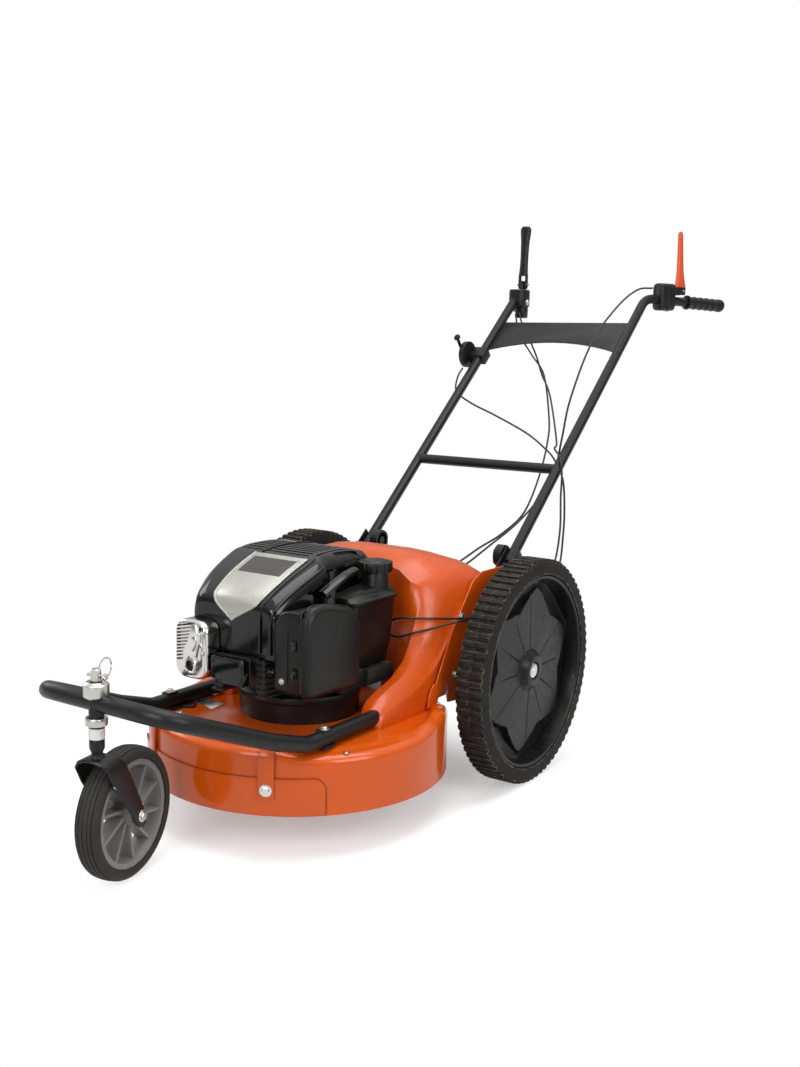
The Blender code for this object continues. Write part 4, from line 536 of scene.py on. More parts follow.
# Control cables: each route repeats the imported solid's
CABLE_R = 2.5
HIGH_END = (190, 400, 800)
CABLES = {
    "drive_cable": ((130, 170, 500), HIGH_END, [
        (214, 834, 1128), (208, 745, 1118), (206, 625, 1068), (204, 487, 974), (202, 385, 836),
        (190, 372, 740), (176, 368, 664), (160, 318, 590), (140, 240, 532), (122, 150, 490), (106, 75, 455),
        (85, 10, 425), (60, -50, 405), (46, -85, 386)]),
    "stop_cable": ((245, 200, 400), HIGH_END, [
        (-184, 815, 1060), (-166, 800, 1030), (-120, 762, 985), (-70, 716, 935), (-20, 655, 888),
        (50, 572, 834), (130, 462, 724), (178, 357, 713.5), (207, 333, 693.5), (222.5, 314, 655),
        (227, 304, 600), (238, 285, 520), (244, 245, 440), (247, 160, 385), (248, 40, 370),
        (247.5, -70, 370), (242, -150, 381), (226, -191.5, 386), (204, -235.7, 390.7), (180, -258.5, 391.6),
        (147.5, -265.5, 389), (120, -260.5, 378), (85.3, -257, 360)]),
    "clutch_cable": ((110, 170, 500), (100, 440, 800), [
        (-196, 813.5, 1056), (-180, 812, 1000), (-130, 800, 940), (-60, 745, 885), (30, 610, 778),
        (60, 551, 721), (98, 440, 640), (124, 316, 556), (118, 220, 512), (104, 130, 484), (88, 65, 457),
        (62, 0, 430), (42, -52, 405), (34, -85, 386.5)]),
    "throttle_cable": ((255, 200, 400), HIGH_END, [
        (-236, 592, 900), (-238, 570, 874), (-225, 545, 836), (-170, 535, 806), (-80, 510, 778),
        (30, 484, 738), (110, 440, 704), (160, 395, 682), (196, 372, 640), (216, 348, 580), (232, 316, 510),
        (252, 255, 430), (256, 160, 377), (257, 40, 360), (257, -80, 363), (250, -165.7, 381),
        (232, -200.7, 377.9), (208, -240.9, 369.7), (182, -260, 361), (146, -266.5, 348.5),
        (116, -264, 350), (83.5, -264, 352.5)]),
}


def cable(node, blend_from, blend_to, route):
    """A control cable's sheath, a tube along its route that stands for the imported cable."""
    line = curved([at(*p) for p in route], 6)
    length = sum((b - a).length for a, b in zip(line, line[1:]))
    obj = piece(node + "_sheath", tube_mesh(line, CABLE_R, 10), CABLE, node, body=None, smooth=60)
    at(*blend_from)
    at(*blend_to)
    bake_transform(obj)
    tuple(line[0])


# Deck: the pan, its front panel with two straps, and the small hardware on it
DECK_Y = -413
DECK_R = 309
DECK_TOP = 203
DECK_LOW = 86
PAN_STEPS = 144
RIM_TOP = [(0, 213), (28, 213), (40, 199), (72, 199), (88, 202), (103, 214), (113, 221), (124, 215),
           (136, DECK_TOP), (180, DECK_TOP)]
PANEL_HALF = 48
PANEL_STEPS = 96
PANEL_R = 312.3
PANEL_CORNER = [(0, 140), (0.6, 148), (1.6, 155), (3, 159.2), (4.4, 160)]


def on_deck(r, angle, z):
    """A point at a radius and an angle from the deck's front, left positive."""
    a = radians(angle)
    return at(r * sin(a), DECK_Y - r * cos(a), z)


def make_pan():
    """The pan, whose rim rises as RIM_TOP says, with a mouth in its rear skirt."""
    sections = []
    for i in range(PAN_STEPS):
        angle = 360 * i / PAN_STEPS - 180
        top = between_values(RIM_TOP, abs(angle))
        outer = [(30, DECK_TOP), (264, DECK_TOP)]
        outer += [(264 + 22 * t, DECK_TOP + (top - DECK_TOP) * ease(t)) for t in (0.2, 0.4, 0.6, 0.8, 1)]
        outer += [(293, top - 0.3), (300, top - 2.2), (304.8, top - 5.8), (307.8, top - 10.5),
                  (DECK_R, top - 16.5), (DECK_R, DECK_LOW)]
        inner = [(306, DECK_LOW), (306, top - 18), (299, top - 6.5), (286, top - 3), (264, DECK_TOP - 3),
                 (30, DECK_TOP - 3)]
        sections.append([on_deck(r, angle, z) for r, z in outer + inner])
    mouth = block((380, 131, 106), at(0, DECK_Y + 264.5, 119))
    piece("deck_pan_shell", cut(lofted(sections, closed=True), mouth), PAINT, "deck_pan", smooth=30)


def make_front_panel():
    sections = []
    edge_r = PANEL_R + 0.3
    line = [on_deck(edge_r, -PANEL_HALF, 89)]
    for i in range(PANEL_STEPS + 1):
        angle = PANEL_HALF * (2 * i / PANEL_STEPS - 1)
        high = between_values(PANEL_CORNER, PANEL_HALF - abs(angle))
        corners = ((309.3, 88.5), (PANEL_R, 88.5), (PANEL_R, high), (309.3, high))
        sections.append([on_deck(r, angle, z) for r, z in corners])
        line.append(on_deck(edge_r, angle, high + 0.4))
    panel = piece("front_panel", lofted(sections), PAINT, "front_skirt_panel", bevel=0.7)
    # A dark strip along the panel's border paints the shade in the gap around the panel.
    bead_or_shade_line("panel_gap_shade", line + [on_deck(edge_r, PANEL_HALF, 89)], 0.5, PLASTIC, 6)


def make_straps():
    face = [(288, 213.6), (299, 213.6), (306, 211.2), (310.8, 206), (312.7, 199), (312.7, 120)]
    back = [(288, 217.6), (300, 217.6), (308.8, 214.4), (314.6, 207.8), (316.7, 199.5), (316.7, 120)]
    for side, name in SIDES:
        angle = side * 27.6
        a = radians(angle)
        across = Matrix(((sin(a), 0, cos(a)), (-cos(a), 0, sin(a)), (0, 1, 0)))
        place = Matrix.Translation(at(0, DECK_Y, 0)) @ across.to_4x4()
        piece("strap_" + name, prism(face + back[::-1], 31, place), PAINT, smooth=40, bevel=1)
        out = (sin(a), -cos(a), 0)
        bolt("strap_bolt_" + name, on_deck(316.5, angle, 138), out, 8, 6.2, 11.8, BRIGHT)
        bolt("strap_screw_" + name, on_deck(295, angle, 217.5), UP, 5, 4, 8)
    for side, name in SIDES:
        bolt("rim_screw_" + name, on_deck(294, side * 56, between_values(RIM_TOP, 56)), UP, 4, 3, 6.5)


def make_deck_hardware():
    piece("deck_bar", block((8.5, 72, 3), at(-198.5, -502, 205.2), turned(-14, "Z")), ZINC, bevel=0.6)
    bolt("deck_bar_bolt", at(-211, -540, 206.2), UP, 6.5, 7)
    bolt("deck_bolt", at(-160, -602.5, 204), UP, 6.5, 5, 10)
    piece("deck_latch", block((42, 20, 6), at(-188, -558, 206.2), turned(24, "Z")), POWDER, bevel=1)
    corners = [(-201.3, -518.4), (-129.3, -540.2), (-137.2, -494.8), (-190, -490)]
    plate = lofted([[at(x, y, z) for x, y in corners] for z in (203.2, 204.2)])
    piece("rating_plate", plate, ZINC, bevel=0.2)


def make_chassis_toes():
    """The toes of the chassis plates, in front of the wheels."""
    outline = [(-251, 256), (-263, 247.5), (-269, 233), (-275, 208), (-242, 208), (-233, 223.5),
               (-198, 223.5), (-196, 247.5), (-206, 247.5)]
    stand = Matrix(((0, 0, 1), (1, 0, 0), (0, 1, 0))).to_4x4()
    for side, name in SIDES:
        place = Matrix.Translation(at(side * 227.5, 0, 0)) @ stand
        piece("chassis_toe_" + name, prism(outline, 3.2, place), PAINT, bevel=0.6)
        for k, (y, z) in enumerate(((-150, 385), (60, 430), (-170, 262))):
            bolt(f"chassis_bolt_{name}_{k}", at(side * 229, y, z), (side, 0, 0), 6.5, 5, 10)


# Rear wheels: the rim's face at the arms of its star, between them, and in its pockets
WHEEL_X = 309
RIM_R = 214.5
RIM_STAR = [((30, 6), (25.5, 4), (17.5, 2)), ((56, 7.5), (49, -7), (18, -8.5)),
            ((74, 8.5), (65, -8.5), (18, -10))]
LUGS = 76
LUG_H = 6
LUG_SHAPE = [(-0.5, 0), (-0.34, 0), (-0.27, 0.55), (-0.24, 0.92), (-0.19, 1), (0.19, 1), (0.24, 0.92),
             (0.27, 0.55), (0.34, 0)]


def rim_face(angle):
    """The rim's face at an angle, blended between the arms and pockets of its star."""
    turn = ((angle - 20) / 60) % 1
    step = 4 * min(turn, 1 - turn)
    low = min(int(step), 1)
    share = step - low
    return [(RIM_R - (1 - share) * a[0] - share * b[0], (1 - share) * a[1] + share * b[1])
            for a, b in zip(RIM_STAR[low], RIM_STAR[low + 1])]


def rim_section(spoke, shift, line, spot):
    """A section of the rim beside a spoke's line, or on one of the line's three edges."""
    (edge_r, edge_x), (foot_r, foot_x), (wall_r, wall_x) = rim_face(spoke + shift)
    inner = [(34, 22.5), (41, 15), (48, 10)]
    inner += [(48 + (edge_r - 48) * t, 9.5 + (edge_x - 9.5) * t) for t in (0.3, 0.55, 0.8, 1)]
    outer = [(edge_r + 1.6, edge_x - 1.2), (foot_r - 1.2, foot_x + 1.2), (foot_r, foot_x),
             ((foot_r + wall_r) / 2, (foot_x + wall_x) / 2 - 0.8), (wall_r, wall_x),
             (wall_r + 3.5, wall_x + 1.5), (202, 12), (204, 21.5), (205.6, 28), (207.5, 30), (212, 30),
             (RIM_R, 28.5)]
    hub = [(19, 22), (20.5, 23.5), (31, 23.5)]
    back = [(RIM_R, -28.5), (212, -30), (208.5, -30), (196, -14.5), (150.5, -13.5), (60, 4), (34, 2),
            (34, -30), (12.5, -30), (12.5, 12.5), (19, 12.5)]
    reach = 172 if spoke in (30, 90, 210, 270) else 128
    front = [(r, x - 2.2 if line == 0 and 42 < r < reach else x) for r, x in inner + outer]
    points = []
    for r, x in hub + front + back:
        points.append(spot(radians(spoke + shift) + (line or 0) * 1.7 / max(r, 20), r, x))
    return points


def make_wheel(side, name):
    centre = at(side * WHEEL_X, 0, WHEEL_R)
    body = "wheel_" + name

    def spot(angle, r, x):
        return centre + mm(side * x, r * cos(angle), r * sin(angle))

    sections = []
    for spoke in range(0, 360, 30):
        sections += [rim_section(spoke, 0, line, spot) for line in (-1, 0, 1)]
        sections += [rim_section(spoke, shift, None, spot) for shift in range(5, 29, 4)]
    piece("rim_" + name, lofted(sections, closed=True), RIM, "rear_rim_" + name, body=body, smooth=28)

    sections = []
    for i in range(LUGS):
        for share, up in LUG_SHAPE:
            low = WHEEL_R - LUG_H
            top = WHEEL_R - LUG_H * (1 - up)
            half = [(32, 215), (32.6, 218), (32.6, 225), (31.8, 232), (30.6, 240), (30.2, low + 0.2),
                    (29.6, top - 1.2), (28.2, top), (1.2, top), (0, top - 0.8)]
            ring = half + [(-x, r) for x, r in half[-2::-1]]
            sections.append([spot(2 * pi / LUGS * (i + share) - pi / 2, r, x) for x, r in ring])
    piece("tyre_" + name, lofted(sections, closed=True), RUBBER, "rear_tyre_" + name, body=body, smooth=38)
    groove = [(216.5, 32.6), (217.8, 33.4), (219, 32.6), (219, 31.8), (216.5, 31.8)]
    piece("tyre_bead_" + name, lathe(groove, centre, (side, 0, 0), 120), RUBBER, body=body)
    cap = [(0, 23.8), (6, 23.6), (6.8, 22.6), (10, 23), (15, 22.2), (17.2, 20.6), (18.4, 18), (18.5, 13),
           (0, 13)]
    cap = lathe(cap, centre, (side, 0, 0), 56)
    piece("wheel_cap_" + name, cap, BRIGHT, "hub_cap_" + name, body=body, smooth=30)


# Caster, at the yaw it has in the photograph
CASTER_AT = Matrix.Translation(at(0, -963, 0)) @ Matrix.Rotation(radians(11.5), 4, "Z")
CASTER_WHEEL = CASTER_AT @ mm(0, 75, 120)
STEM = CASTER_AT.translation.copy()
FORK_PATH = [(36, 83, 101, 6), (36, 79.5, 106, 12.5), (36, 75, 114, 15), (36, 64, 133, 16.5),
             (36, 50, 156, 18.5), (36, 34, 183, 20.5), (36, 20, 206, 22), (34.5, 11, 222, 22.8),
             (30, 5, 233, 23.2), (22, 1.5, 240, 23.5), (11, 0, 243.2, 23.5), (0, 0, 244, 23.5)]


def fork_strap():
    """The fork's bent strip, through rows of (x, y, z, half width)."""
    path = FORK_PATH + [(-x, y, z, w) for x, y, z, w in FORK_PATH[-2::-1]]
    points = [mm(*p[:3]) for p in path]
    sections = []
    for (point, before, after), row in zip(in_threes(points), path):
        ahead = (after - before).normalized()
        outward = Vector((0, 1, 0)).cross(ahead).normalized()
        if abs(row[0]) > 34:
            outward = Vector((copysign(1, row[0]), 0, 0))
        elif outward.z < 0:
            outward.negate()
        wide = ahead.cross(outward).normalized()
        if wide.y < 0:
            wide.negate()
        rim = [(1, -1.2), (0.93, 1.8), (0.8, 2.5), (-0.8, 2.5), (-0.93, 1.8), (-1, -1.2), (-0.95, -2.5),
               (0.95, -2.5)]
        sections.append([CASTER_AT @ (point + (wide * row[3] * a + outward * b) / 1000) for a, b in rim])
    return lofted(sections)


def make_caster():
    out = CASTER_AT.to_3x3() @ Vector(LEFT)
    half = [(98.8, 22.5), (101, 23.6), (106, 24), (110, 23.2), (113.5, 20.8), (116, 18), (117.2, 17.2),
            (115.6, 16.8), (115.6, 15.2), (118.4, 14.6), (119.2, 10), (117.8, 9.6), (117.8, 8), (119.5, 7.6),
            (120, 2), (118.4, 1.4)]
    tyre = lathe(half + [(r, -h) for r, h in half[::-1]], CASTER_WHEEL, out, 96)
    piece("caster_tread", tyre, CASTER_RUBBER, "caster_tyre", body="caster_wheel", smooth=40)
    stem = [(0, 380.5), (7, 380.5), (9.2, 379.5), (9.8, 377), (9.8, 278.4), (12.6, 278), (13.3, 277),
            (13.3, 262), (10, 254.5), (10, 250), (13.5, 246), (15, 242), (0, 242)]
    fork = joined(fork_strap(), lathe(stem, STEM, UP, 40))
    piece("fork", fork, POWDER, "caster_fork", body="caster", smooth=40)
    tip = lathe([(0, 401), (6.8, 401), (8.8, 398.8), (8.8, 370), (0, 370)], STEM, UP, 36)
    tip = cut(tip, rod(3.4, -30, 30, CASTER_AT @ mm(0, 0, 389), out, 24))
    piece("stem_end", tip, ZINC, body="caster", smooth=40)
    ring = [(10.2, 278.6), (13.4, 278.6), (14, 279.2), (14, 296.8), (13.4, 297.5), (10.2, 297.5)]
    piece("spacer", lathe(ring, STEM, UP), WHITE, "height_spacer", body="caster")
    for name, way, made in (("fork_bolt", out, BRIGHT), ("fork_nut", -out, ZINC)):
        bolt(name, CASTER_WHEEL + way * 38.5 / 1000, way, 8, 6.2, 11.5, made, "caster")


def eased_corners(points, radius, steps=10):
    """A path with its corners rounded to a radius."""
    line = [points[0]]
    for before, corner, after in zip(points, points[1:], points[2:]):
        a, b = before - corner, after - corner
        reach = min(radius / 1000 / tan(a.angle(b) / 2), a.length * 0.49, b.length * 0.49)
        start, end = corner + a.normalized() * reach, corner + b.normalized() * reach
        for i in range(steps + 1):
            t = i / steps
            line.append(start.lerp(corner, t).lerp(corner.lerp(end, t), t))
    return line + [points[-1]]


def make_front_frame():
    path = [at(200, -250, 222), at(200, -640, 222), at(196, -730, 250), at(158, -960, 341)]
    path += [Vector((-p.x, p.y, p.z)) for p in path[::-1]]
    bow = tube_mesh(eased_corners(path, 75), 16, 28)
    sleeve = [(10.3, 298.2), (12.8, 298.2), (13.2, 298.8), (13.2, 349.6), (10.3, 349.6)]
    parts = [cut(bow, rod(10.5, 270, 360, STEM, UP, 32)), lathe(sleeve, STEM, UP, 36)]
    for side, name in SIDES:
        for size, z in (((6, 34, 20), 214), ((34, 34, 4), 208.5), ((20, 26, 10), 235)):
            parts.append(block(size, at(side * 200, -589, z)))
        bolt("frame_bolt_" + name, at(side * 200, -589, 240), UP, 6.5, 5.5, 10)
    piece("front_bow", joined(*parts), POWDER, "front_frame", smooth=40, bevel=0.6)
    ring = [(13.4, 302), (18.5, 302.6), (19, 303.4), (19, 315), (18.2, 316.2), (13.4, 316.2)]
    piece("sleeve_collar", lathe(ring, STEM, UP, 40), ZINC)


def rounded_outline(x0, x1, z0, z1, radius, inset=0, steps=5):
    """A rectangle with round corners, drawn in by an inset."""
    points = []
    x0, x1, z0, z1 = x0 + radius, x1 - radius, z0 + radius, z1 - radius
    radius -= inset
    for cx, cz, start in ((x1, z1, 0), (x0, z1, 90), (x0, z0, 180), (x1, z0, 270)):
        for i in range(steps + 1):
            a = radians(start + 90 * i / steps)
            points.append((cx + radius * cos(a), cz + radius * sin(a)))
    return points


# Handle: the grips, and the levers at the left grip and at the right tube's end
BEND = at(202, 820, 1100)
GRIP_END = at(330, 1060, 1089)
ALONG = (GRIP_END - BEND).normalized()
LEVER_AT = BEND + ALONG * 118 / 1000 + mm(0, 0, 29)
LEVER_H = 160
STOP_H = 166
STOP_AT = at(-190, 842, 1142)
FLAT = Vector((ALONG.x, ALONG.y, 0)).normalized()
ACROSS = Vector((FLAT.y, -FLAT.x, 0))
LEVER_ROWS = [(-0.045, 8, 4.5, 2), (0, 15, 5.6, 1), (0.06, 18.5, 5.8, 0), (0.18, 14.5, 5.8, -1),
              (0.35, 10.8, 5.6, -3), (0.6, 8.8, 5.4, -5), (0.85, 7.4, 5, -7), (0.96, 6.4, 4.6, -8),
              (1, 3, 2.2, -8)]
STOP_ROWS = [(0.15, 6.6, 12.5, 0), (0.19, 6.8, 13.2, 0), (0.4, 6.6, 11.8, 2), (0.7, 6.6, 12.8, 4),
             (0.88, 6.8, 15.8, 6), (0.96, 6.6, 15.6, 6), (1, 4, 10, 6)]
PRONG_ROWS = [(-0.07, 4, 2.4, 0), (-0.04, 6.4, 3, 0), (0.1, 6.2, 3, 0), (0.175, 6, 3.2, 0)]


def blade(place, flat, across, table, height):
    """An upright lever through rows of (share, half length, half thickness, lean)."""
    sections = []
    for share, wide, thick, lean in refined(table, 6):
        ring = []
        for i in range(20):
            a = 2 * pi * i / 20
            u, v = [copysign(abs(w) ** 0.7, w) for w in (cos(a), sin(a))]
            step = flat * (lean + wide * u) + across * thick * v + Vector((0, 0, height * share))
            ring.append(place + step / 1000)
        sections.append(ring)
    return lofted(sections)


def make_grips():
    profile = [(13.3, 0), (19, 0), (19.7, 0.8), (19.7, 3.6), (18.8, 4.6)]
    for i in range(67):
        z = 108.5 * i / 66
        profile.append((17.9 - 1.7 * (0.5 - 0.5 * cos(2 * pi * z / 21.7)) ** 0.6, z + 5.5))
    profile += [(17.8, 119), (17.4, 123), (16.2, 126.2), (14.6, 128.2), (11.8, 129.2), (0, 129.2), (0, 126.5),
                (13.3, 126.5)]
    for side, name in SIDES:
        axis = Vector((side * ALONG.x, ALONG.y, ALONG.z))
        start = Vector((side * GRIP_END.x, GRIP_END.y, GRIP_END.z)) - axis * 130 / 1000
        piece("grip_cover_" + name, lathe(profile, start, axis, 40), PLASTIC, "grip_" + name,
              body="handle", smooth=50)


def make_levers():
    lever = cut(blade(LEVER_AT, FLAT, ACROSS, LEVER_ROWS, LEVER_H), rod(3.6, -20, 20, LEVER_AT, ACROSS))
    piece("drive_lever_blade", lever, LEVER, "drive_lever", body="drive_lever", smooth=50)
    flat, across = Vector((0, 1, 0)), Vector(LEFT)
    parts = [blade(STOP_AT, flat, across, STOP_ROWS, STOP_H)]
    for x in (-10.7, 10.7):
        prong = blade(STOP_AT + mm(x, 0, 0), flat, across, PRONG_ROWS, STOP_H)
        parts.append(cut(prong, rod(3.6, -20, 20, STOP_AT, across)))
    piece("stop_lever_blade", joined(*parts), PLASTIC, "stop_lever", body="stop_lever", smooth=50)


def make_left_clamp():
    turn = Matrix((ACROSS, FLAT, Vector(UP))).transposed()
    body = BEND + ALONG * 64 / 1000
    sections = []
    for y, e in ((-25, 3.5), (-23.2, 1), (-20, 0), (20, 0), (23.2, 1), (25, 3.5)):
        outline = rounded_outline(-20.5, 20.5, -28.5, 45, 13.5, e)
        sections.append([body + turn @ mm(x, y, z) for x, z in outline])
    piece("clamp_body_left", lofted(sections), PLASTIC, "lever_clamp_left", body="handle", smooth=40)
    ears = [block((5, 40, 21), LEVER_AT + turn @ mm(x, -11, -1), turn) for x in (-11.5, 11.5)]
    piece("clamp_ears", joined(*ears), PLASTIC, body="handle", bevel=2)
    piece("clamp_stud", rod(3, -16, 16, LEVER_AT, ACROSS), ZINC, body="handle")
    piece("clamp_seam", block((42.4, 3, 70), body + mm(0, 0, 8), turn), GLOSS, body="handle", bevel=10)
    bolt("clamp_bolt_left", body + turn @ mm(0, 12, -27), (0, 0, -1), 4.5, 4, 7, BRIGHT, "handle")


def make_right_clamp():
    sections = []
    for z, e in ((-64, 3.5), (-62, 1), (-59, 0), (-19.5, 0), (-16.2, 1), (-14, 3.5)):
        outline = rounded_outline(-33.5, 18, -30, 20, 13, e)
        sections.append([STOP_AT + mm(x, y, z) for x, y in outline])
    piece("clamp_body_right", lofted(sections), PLASTIC, "lever_clamp_right", body="handle", smooth=40)
    parts = [block((12, 24, 36), STOP_AT + mm(0, 0, -7)), block((30, 28, 36), STOP_AT + mm(3, -9, -78))]
    piece("clamp_tongue", joined(*parts), PLASTIC, body="handle", bevel=4)
    piece("clamp_stud_right", rod(3, -18, 18, STOP_AT, LEFT), ZINC, body="handle")
    bolt("clamp_bolt_right", STOP_AT + mm(18, -4, -50), LEFT, 5.5, 4.5, 8.5, BRIGHT, "handle")


# Blower housing: rows of (y, edge on the -X side, edge on the +X side, top)
SHROUD = [(-600, -115, 84, 442), (-590, -128, 90, 464), (-530, -150, 98, 499), (-460, -163, 100.5, 526),
          (-436, -165, 83.5, 531), (-400, -165, 83.5, 535), (-330, -163, 80, 534), (-275, -148, 74, 524),
          (-250, -122, 60, 508)]
LIP = 353.5
REAR_LIP = 365
STATIONS = refined(SHROUD, 4)
SHIELD_PATH = [(s[0], s[3]) for s in STATIONS[12::-1]] + [(-600.3, z) for z in (436, 430, 424, 418)]
SHIELD_RIGHT = [(0, -85), (0.45, -82), (0.74, -76), (0.8, -70), (0.84, -64), (1, -20.5)]
SHIELD_LEFT = [(0, 55), (0.45, 55), (0.74, 48), (0.8, 43), (0.84, 36), (1, -19.5)]


def corner(wide, high, steps):
    """A rounded corner, from its upright side to its flat top."""
    turns = [pi / 2 * i / steps for i in range(steps + 1)]
    return [(wide * (1 - cos(a)), high * (sin(a) - 1)) for a in turns]


def shroud_row(y, left, right, top):
    low = LIP + (REAR_LIP - LIP) * max(0, min(1, (y + 590) / 60))
    bend = [(x, top + z) for x, z in corner(30, 34, 6)]
    row = [(left, low)] + [(left + x, z) for x, z in bend]
    row += [(right - x, z) for x, z in bend[::-1]] + [(right, low)]
    return [at(x, y, z) for x, z in row]


def make_shroud():
    """The blower housing with its grille, vents, a dark sheet under the grille that paints the shade inside,
    ribs and seams.
    """
    rows = [shroud_row(*s) for s in STATIONS]
    front = [Vector((p.x, p.y, LIP / 1000)) for p in rows[0]]
    eased = [a.lerp(b, 0.86) + mm(0, -0.3, 0) for a, b in zip(front, rows[0])]
    rear = [Vector((p.x, p.y, REAR_LIP / 1000)) for p in rows[-1]]
    cutters = []
    for i in range(10):
        for low, high in ((-132, -78), (-64, 40)):
            cutters.append(block((high - low, 6.2, 60), at((low + high) / 2, -438.5 + 15 * i, 530)))
    for size, place in (((5, 120, 60), (53.5, -372, 530)), ((9, 78, 50), (66.5, -352, 520)),
                        ((12, 56, 12), (80, -345, 508.5))):
        cutters.append(block(size, at(*place)))
    housing = cut(sheet([front, eased] + rows + [rear], UP), *cutters, wall=2.4)
    piece("blower_housing", housing, GLOSS, "engine_shroud", smooth=32)
    # A dark sheet just under the grille's slots paints the shade inside the housing.
    inside = [[p + mm(0, 4, -6) for p in row[2:-2]] for row in rows[10:-3]]
    piece("grille_shade_sheet", cut(sheet(inside, UP), wall=1), PLASTIC)
    for name, shift, drop, radius, last in (("inner", 33, -0.5, 2.6, 17), ("outer", 7.5, 11.5, 3.4, 15)):
        line = [(s[2] - shift, s[0], s[3] - drop) for s in STATIONS[1:last]]
        x, y, z = line[0]
        line = [(x, y - 3.5, LIP + 10), (x, y - 3.5, z - 16)] + line
        widths = [radius] * (len(line) - 3) + [radius * 0.7, radius * 0.4, radius * 0.1]
        bead_or_shade_line("housing_rib_" + name, [at(*p) for p in line], widths, GLOSS, 12)
    bead_or_shade_line("housing_ridge", [at(-71, s[0], s[3] + 0.4) for s in STATIONS[13:29]], 1.8, GLOSS)
    bead_or_shade_line("housing_seam", [at(s[1] + 6, s[0], s[3] - 14) for s in STATIONS[2:31]], 1.3, PLASTIC)
    bead_or_shade_line("housing_band", [at(s[1] - 0.2, s[0], 416 + 0.03 * s[0]) for s in STATIONS[3:31]], 2.2, GLOSS)


def make_shield():
    """The silver panel down the housing's front, with its border and dark field."""
    path = SHIELD_PATH
    run = [0]
    for (y0, z0), (y1, z1) in zip(path, path[1:]):
        run.append(run[-1] + hypot(y1 - y0, z1 - z0))
    frames = []
    for here, ((y, z), (y0, z0), (y1, z1)) in zip(run, in_threes(path)):
        size = hypot(y1 - y0, z1 - z0)
        frames.append((here / run[-1], y, z, (z1 - z0) / size, (y0 - y1) / size))

    def shell(name, inset, low, high, made, *stands_for):
        sections = []
        for share, y, z, ny, nz in frames:
            if inset and not 0.06 < share < 0.46:
                continue
            a = between_values(SHIELD_RIGHT, share, straight) + inset
            b = max(between_values(SHIELD_LEFT, share, straight) - inset, a + 2)
            edge = min(1.2, (b - a) / 4)
            ring = [(a, low), (a, high - 0.6), (a + edge, high), (b - edge, high), (b, high - 0.6), (b, low)]
            sections.append([at(x, y + ny * h, z + nz * h) for x, h in ring])
        piece(name, lofted(sections), made, *stands_for, smooth=30)

    shell("shield", 0, 0.6, 3, SILVER, "shroud_panel")
    for k, edge, shift in ((1, SHIELD_RIGHT, 4.5), (2, SHIELD_LEFT, -4.5)):
        line = [at(between_values(edge, share, straight) + shift, y + ny * 2.8, z + nz * 2.8)
                for share, y, z, ny, nz in frames if share < 0.99]
        bead_or_shade_line(f"shield_border_{k}", line, 1.7, SILVER)
    y, z = path[1]
    bead_or_shade_line("shield_border_top", [at(x, y, z + 3) for x in (-81, 51)], 1.7, SILVER)
    shell("shield_field", 14, 2.2, 3.4, FIELD)
    line = [(-66, -590, 466.5), (-58, -601.5, 446), (-22, -603, 431.5), (16, -601.5, 446), (24, -590, 466.5)]
    bead_or_shade_line("shield_chevron", [at(*p) for p in line], 1.1, SILVER)


def make_muffler():
    """The muffler and its bright guard."""
    body = block((67, 28.5, 98), at(-93.5, -620.25, 353))
    neck = block((34, 40, 40), at(-92, -588, 332))
    elbow = rod(12, 0, 34, at(-84, -574.5, 332), LEFT, 24)
    piece("muffler_body", joined(body, neck, elbow), STEEL, "muffler", bevel=3)

    rows = []
    for y, e in ((-602.5, 0), (-629, 0), (-634.5, 0.8), (-637.8, 3), (-639.3, 6), (-640, 10)):
        outline = rounded_outline(-136 + e, -51.5 - e, 296 + e, 414.5 - e, 26 - e * 0.6, steps=6)
        rows.append([at(x, y, z) for x, z in outline + outline[:1]])
    middle = at(-94, -640.2, 355)
    rows.append([middle + (p - middle) * 0.5 for p in rows[-1]])
    rows.append([middle.copy() for p in rows[-1]])
    cutters = []
    for z in range(334, 405, 7):
        end = min(-84, max(-112, -123.5 + (z - 334) * 0.7))
        size = end + 132
        cutters.append(block((size, 50, 3.4), at(end - size / 2, -636, z), turned(-13, "Y")))
    cutters.append(rod(11.8, -20, 20, at(-94.8, -640, 322.9), (0, 1, 0), 32))
    cutters.append(block((10, 50, 8.5), at(-65.5, -640, 400)))
    guard = cut(sheet(rows, FORWARD), *cutters, wall=1.6)
    piece("guard_plate", guard, BRIGHT, "muffler_guard", smooth=32, bevel=0.4)
    outlet = at(-93.8, -639, 323.2)
    collar = [(10.4, -6), (10.4, 3), (11.8, 4.4), (14.6, 3.6), (15.6, 0), (15.6, -4)]
    piece("outlet_collar", lathe(collar, outlet, FORWARD, 40), BRIGHT)
    pipe = [(0, -16), (10.3, -16), (10.3, 2.2), (9.5, 2.2), (9.5, -14), (0, -14)]
    piece("outlet_pipe", lathe(pipe, outlet, FORWARD, 32), BLACK_CAST)
    stand = Matrix(((1, 0, 0), (0, 0, 1), (0, 1, 0))).to_4x4()
    step = [(-86, 408), (-96, 380), (-105, 352), (-104, 344), (-78, 344), (-69, 336), (-64, 340), (-60, 366),
            (-66, 372), (-62, 390), (-74, 392), (-78, 408)]
    pressing = [(-86, 384), (-93, 364), (-92, 354), (-76, 354), (-72, 366), (-76, 384)]
    for name, outline, thick, y in (("step", step, 3.4, -641.2), ("pressing", pressing, 3, -642.8)):
        plate = prism(outline, thick, Matrix.Translation(at(0, y, 0)) @ stand)
        piece("guard_" + name, plate, BRIGHT, bevel=1.3)
    bolt("guard_bolt", at(-62, -640, 352), FORWARD, 4, 3.5, 6)


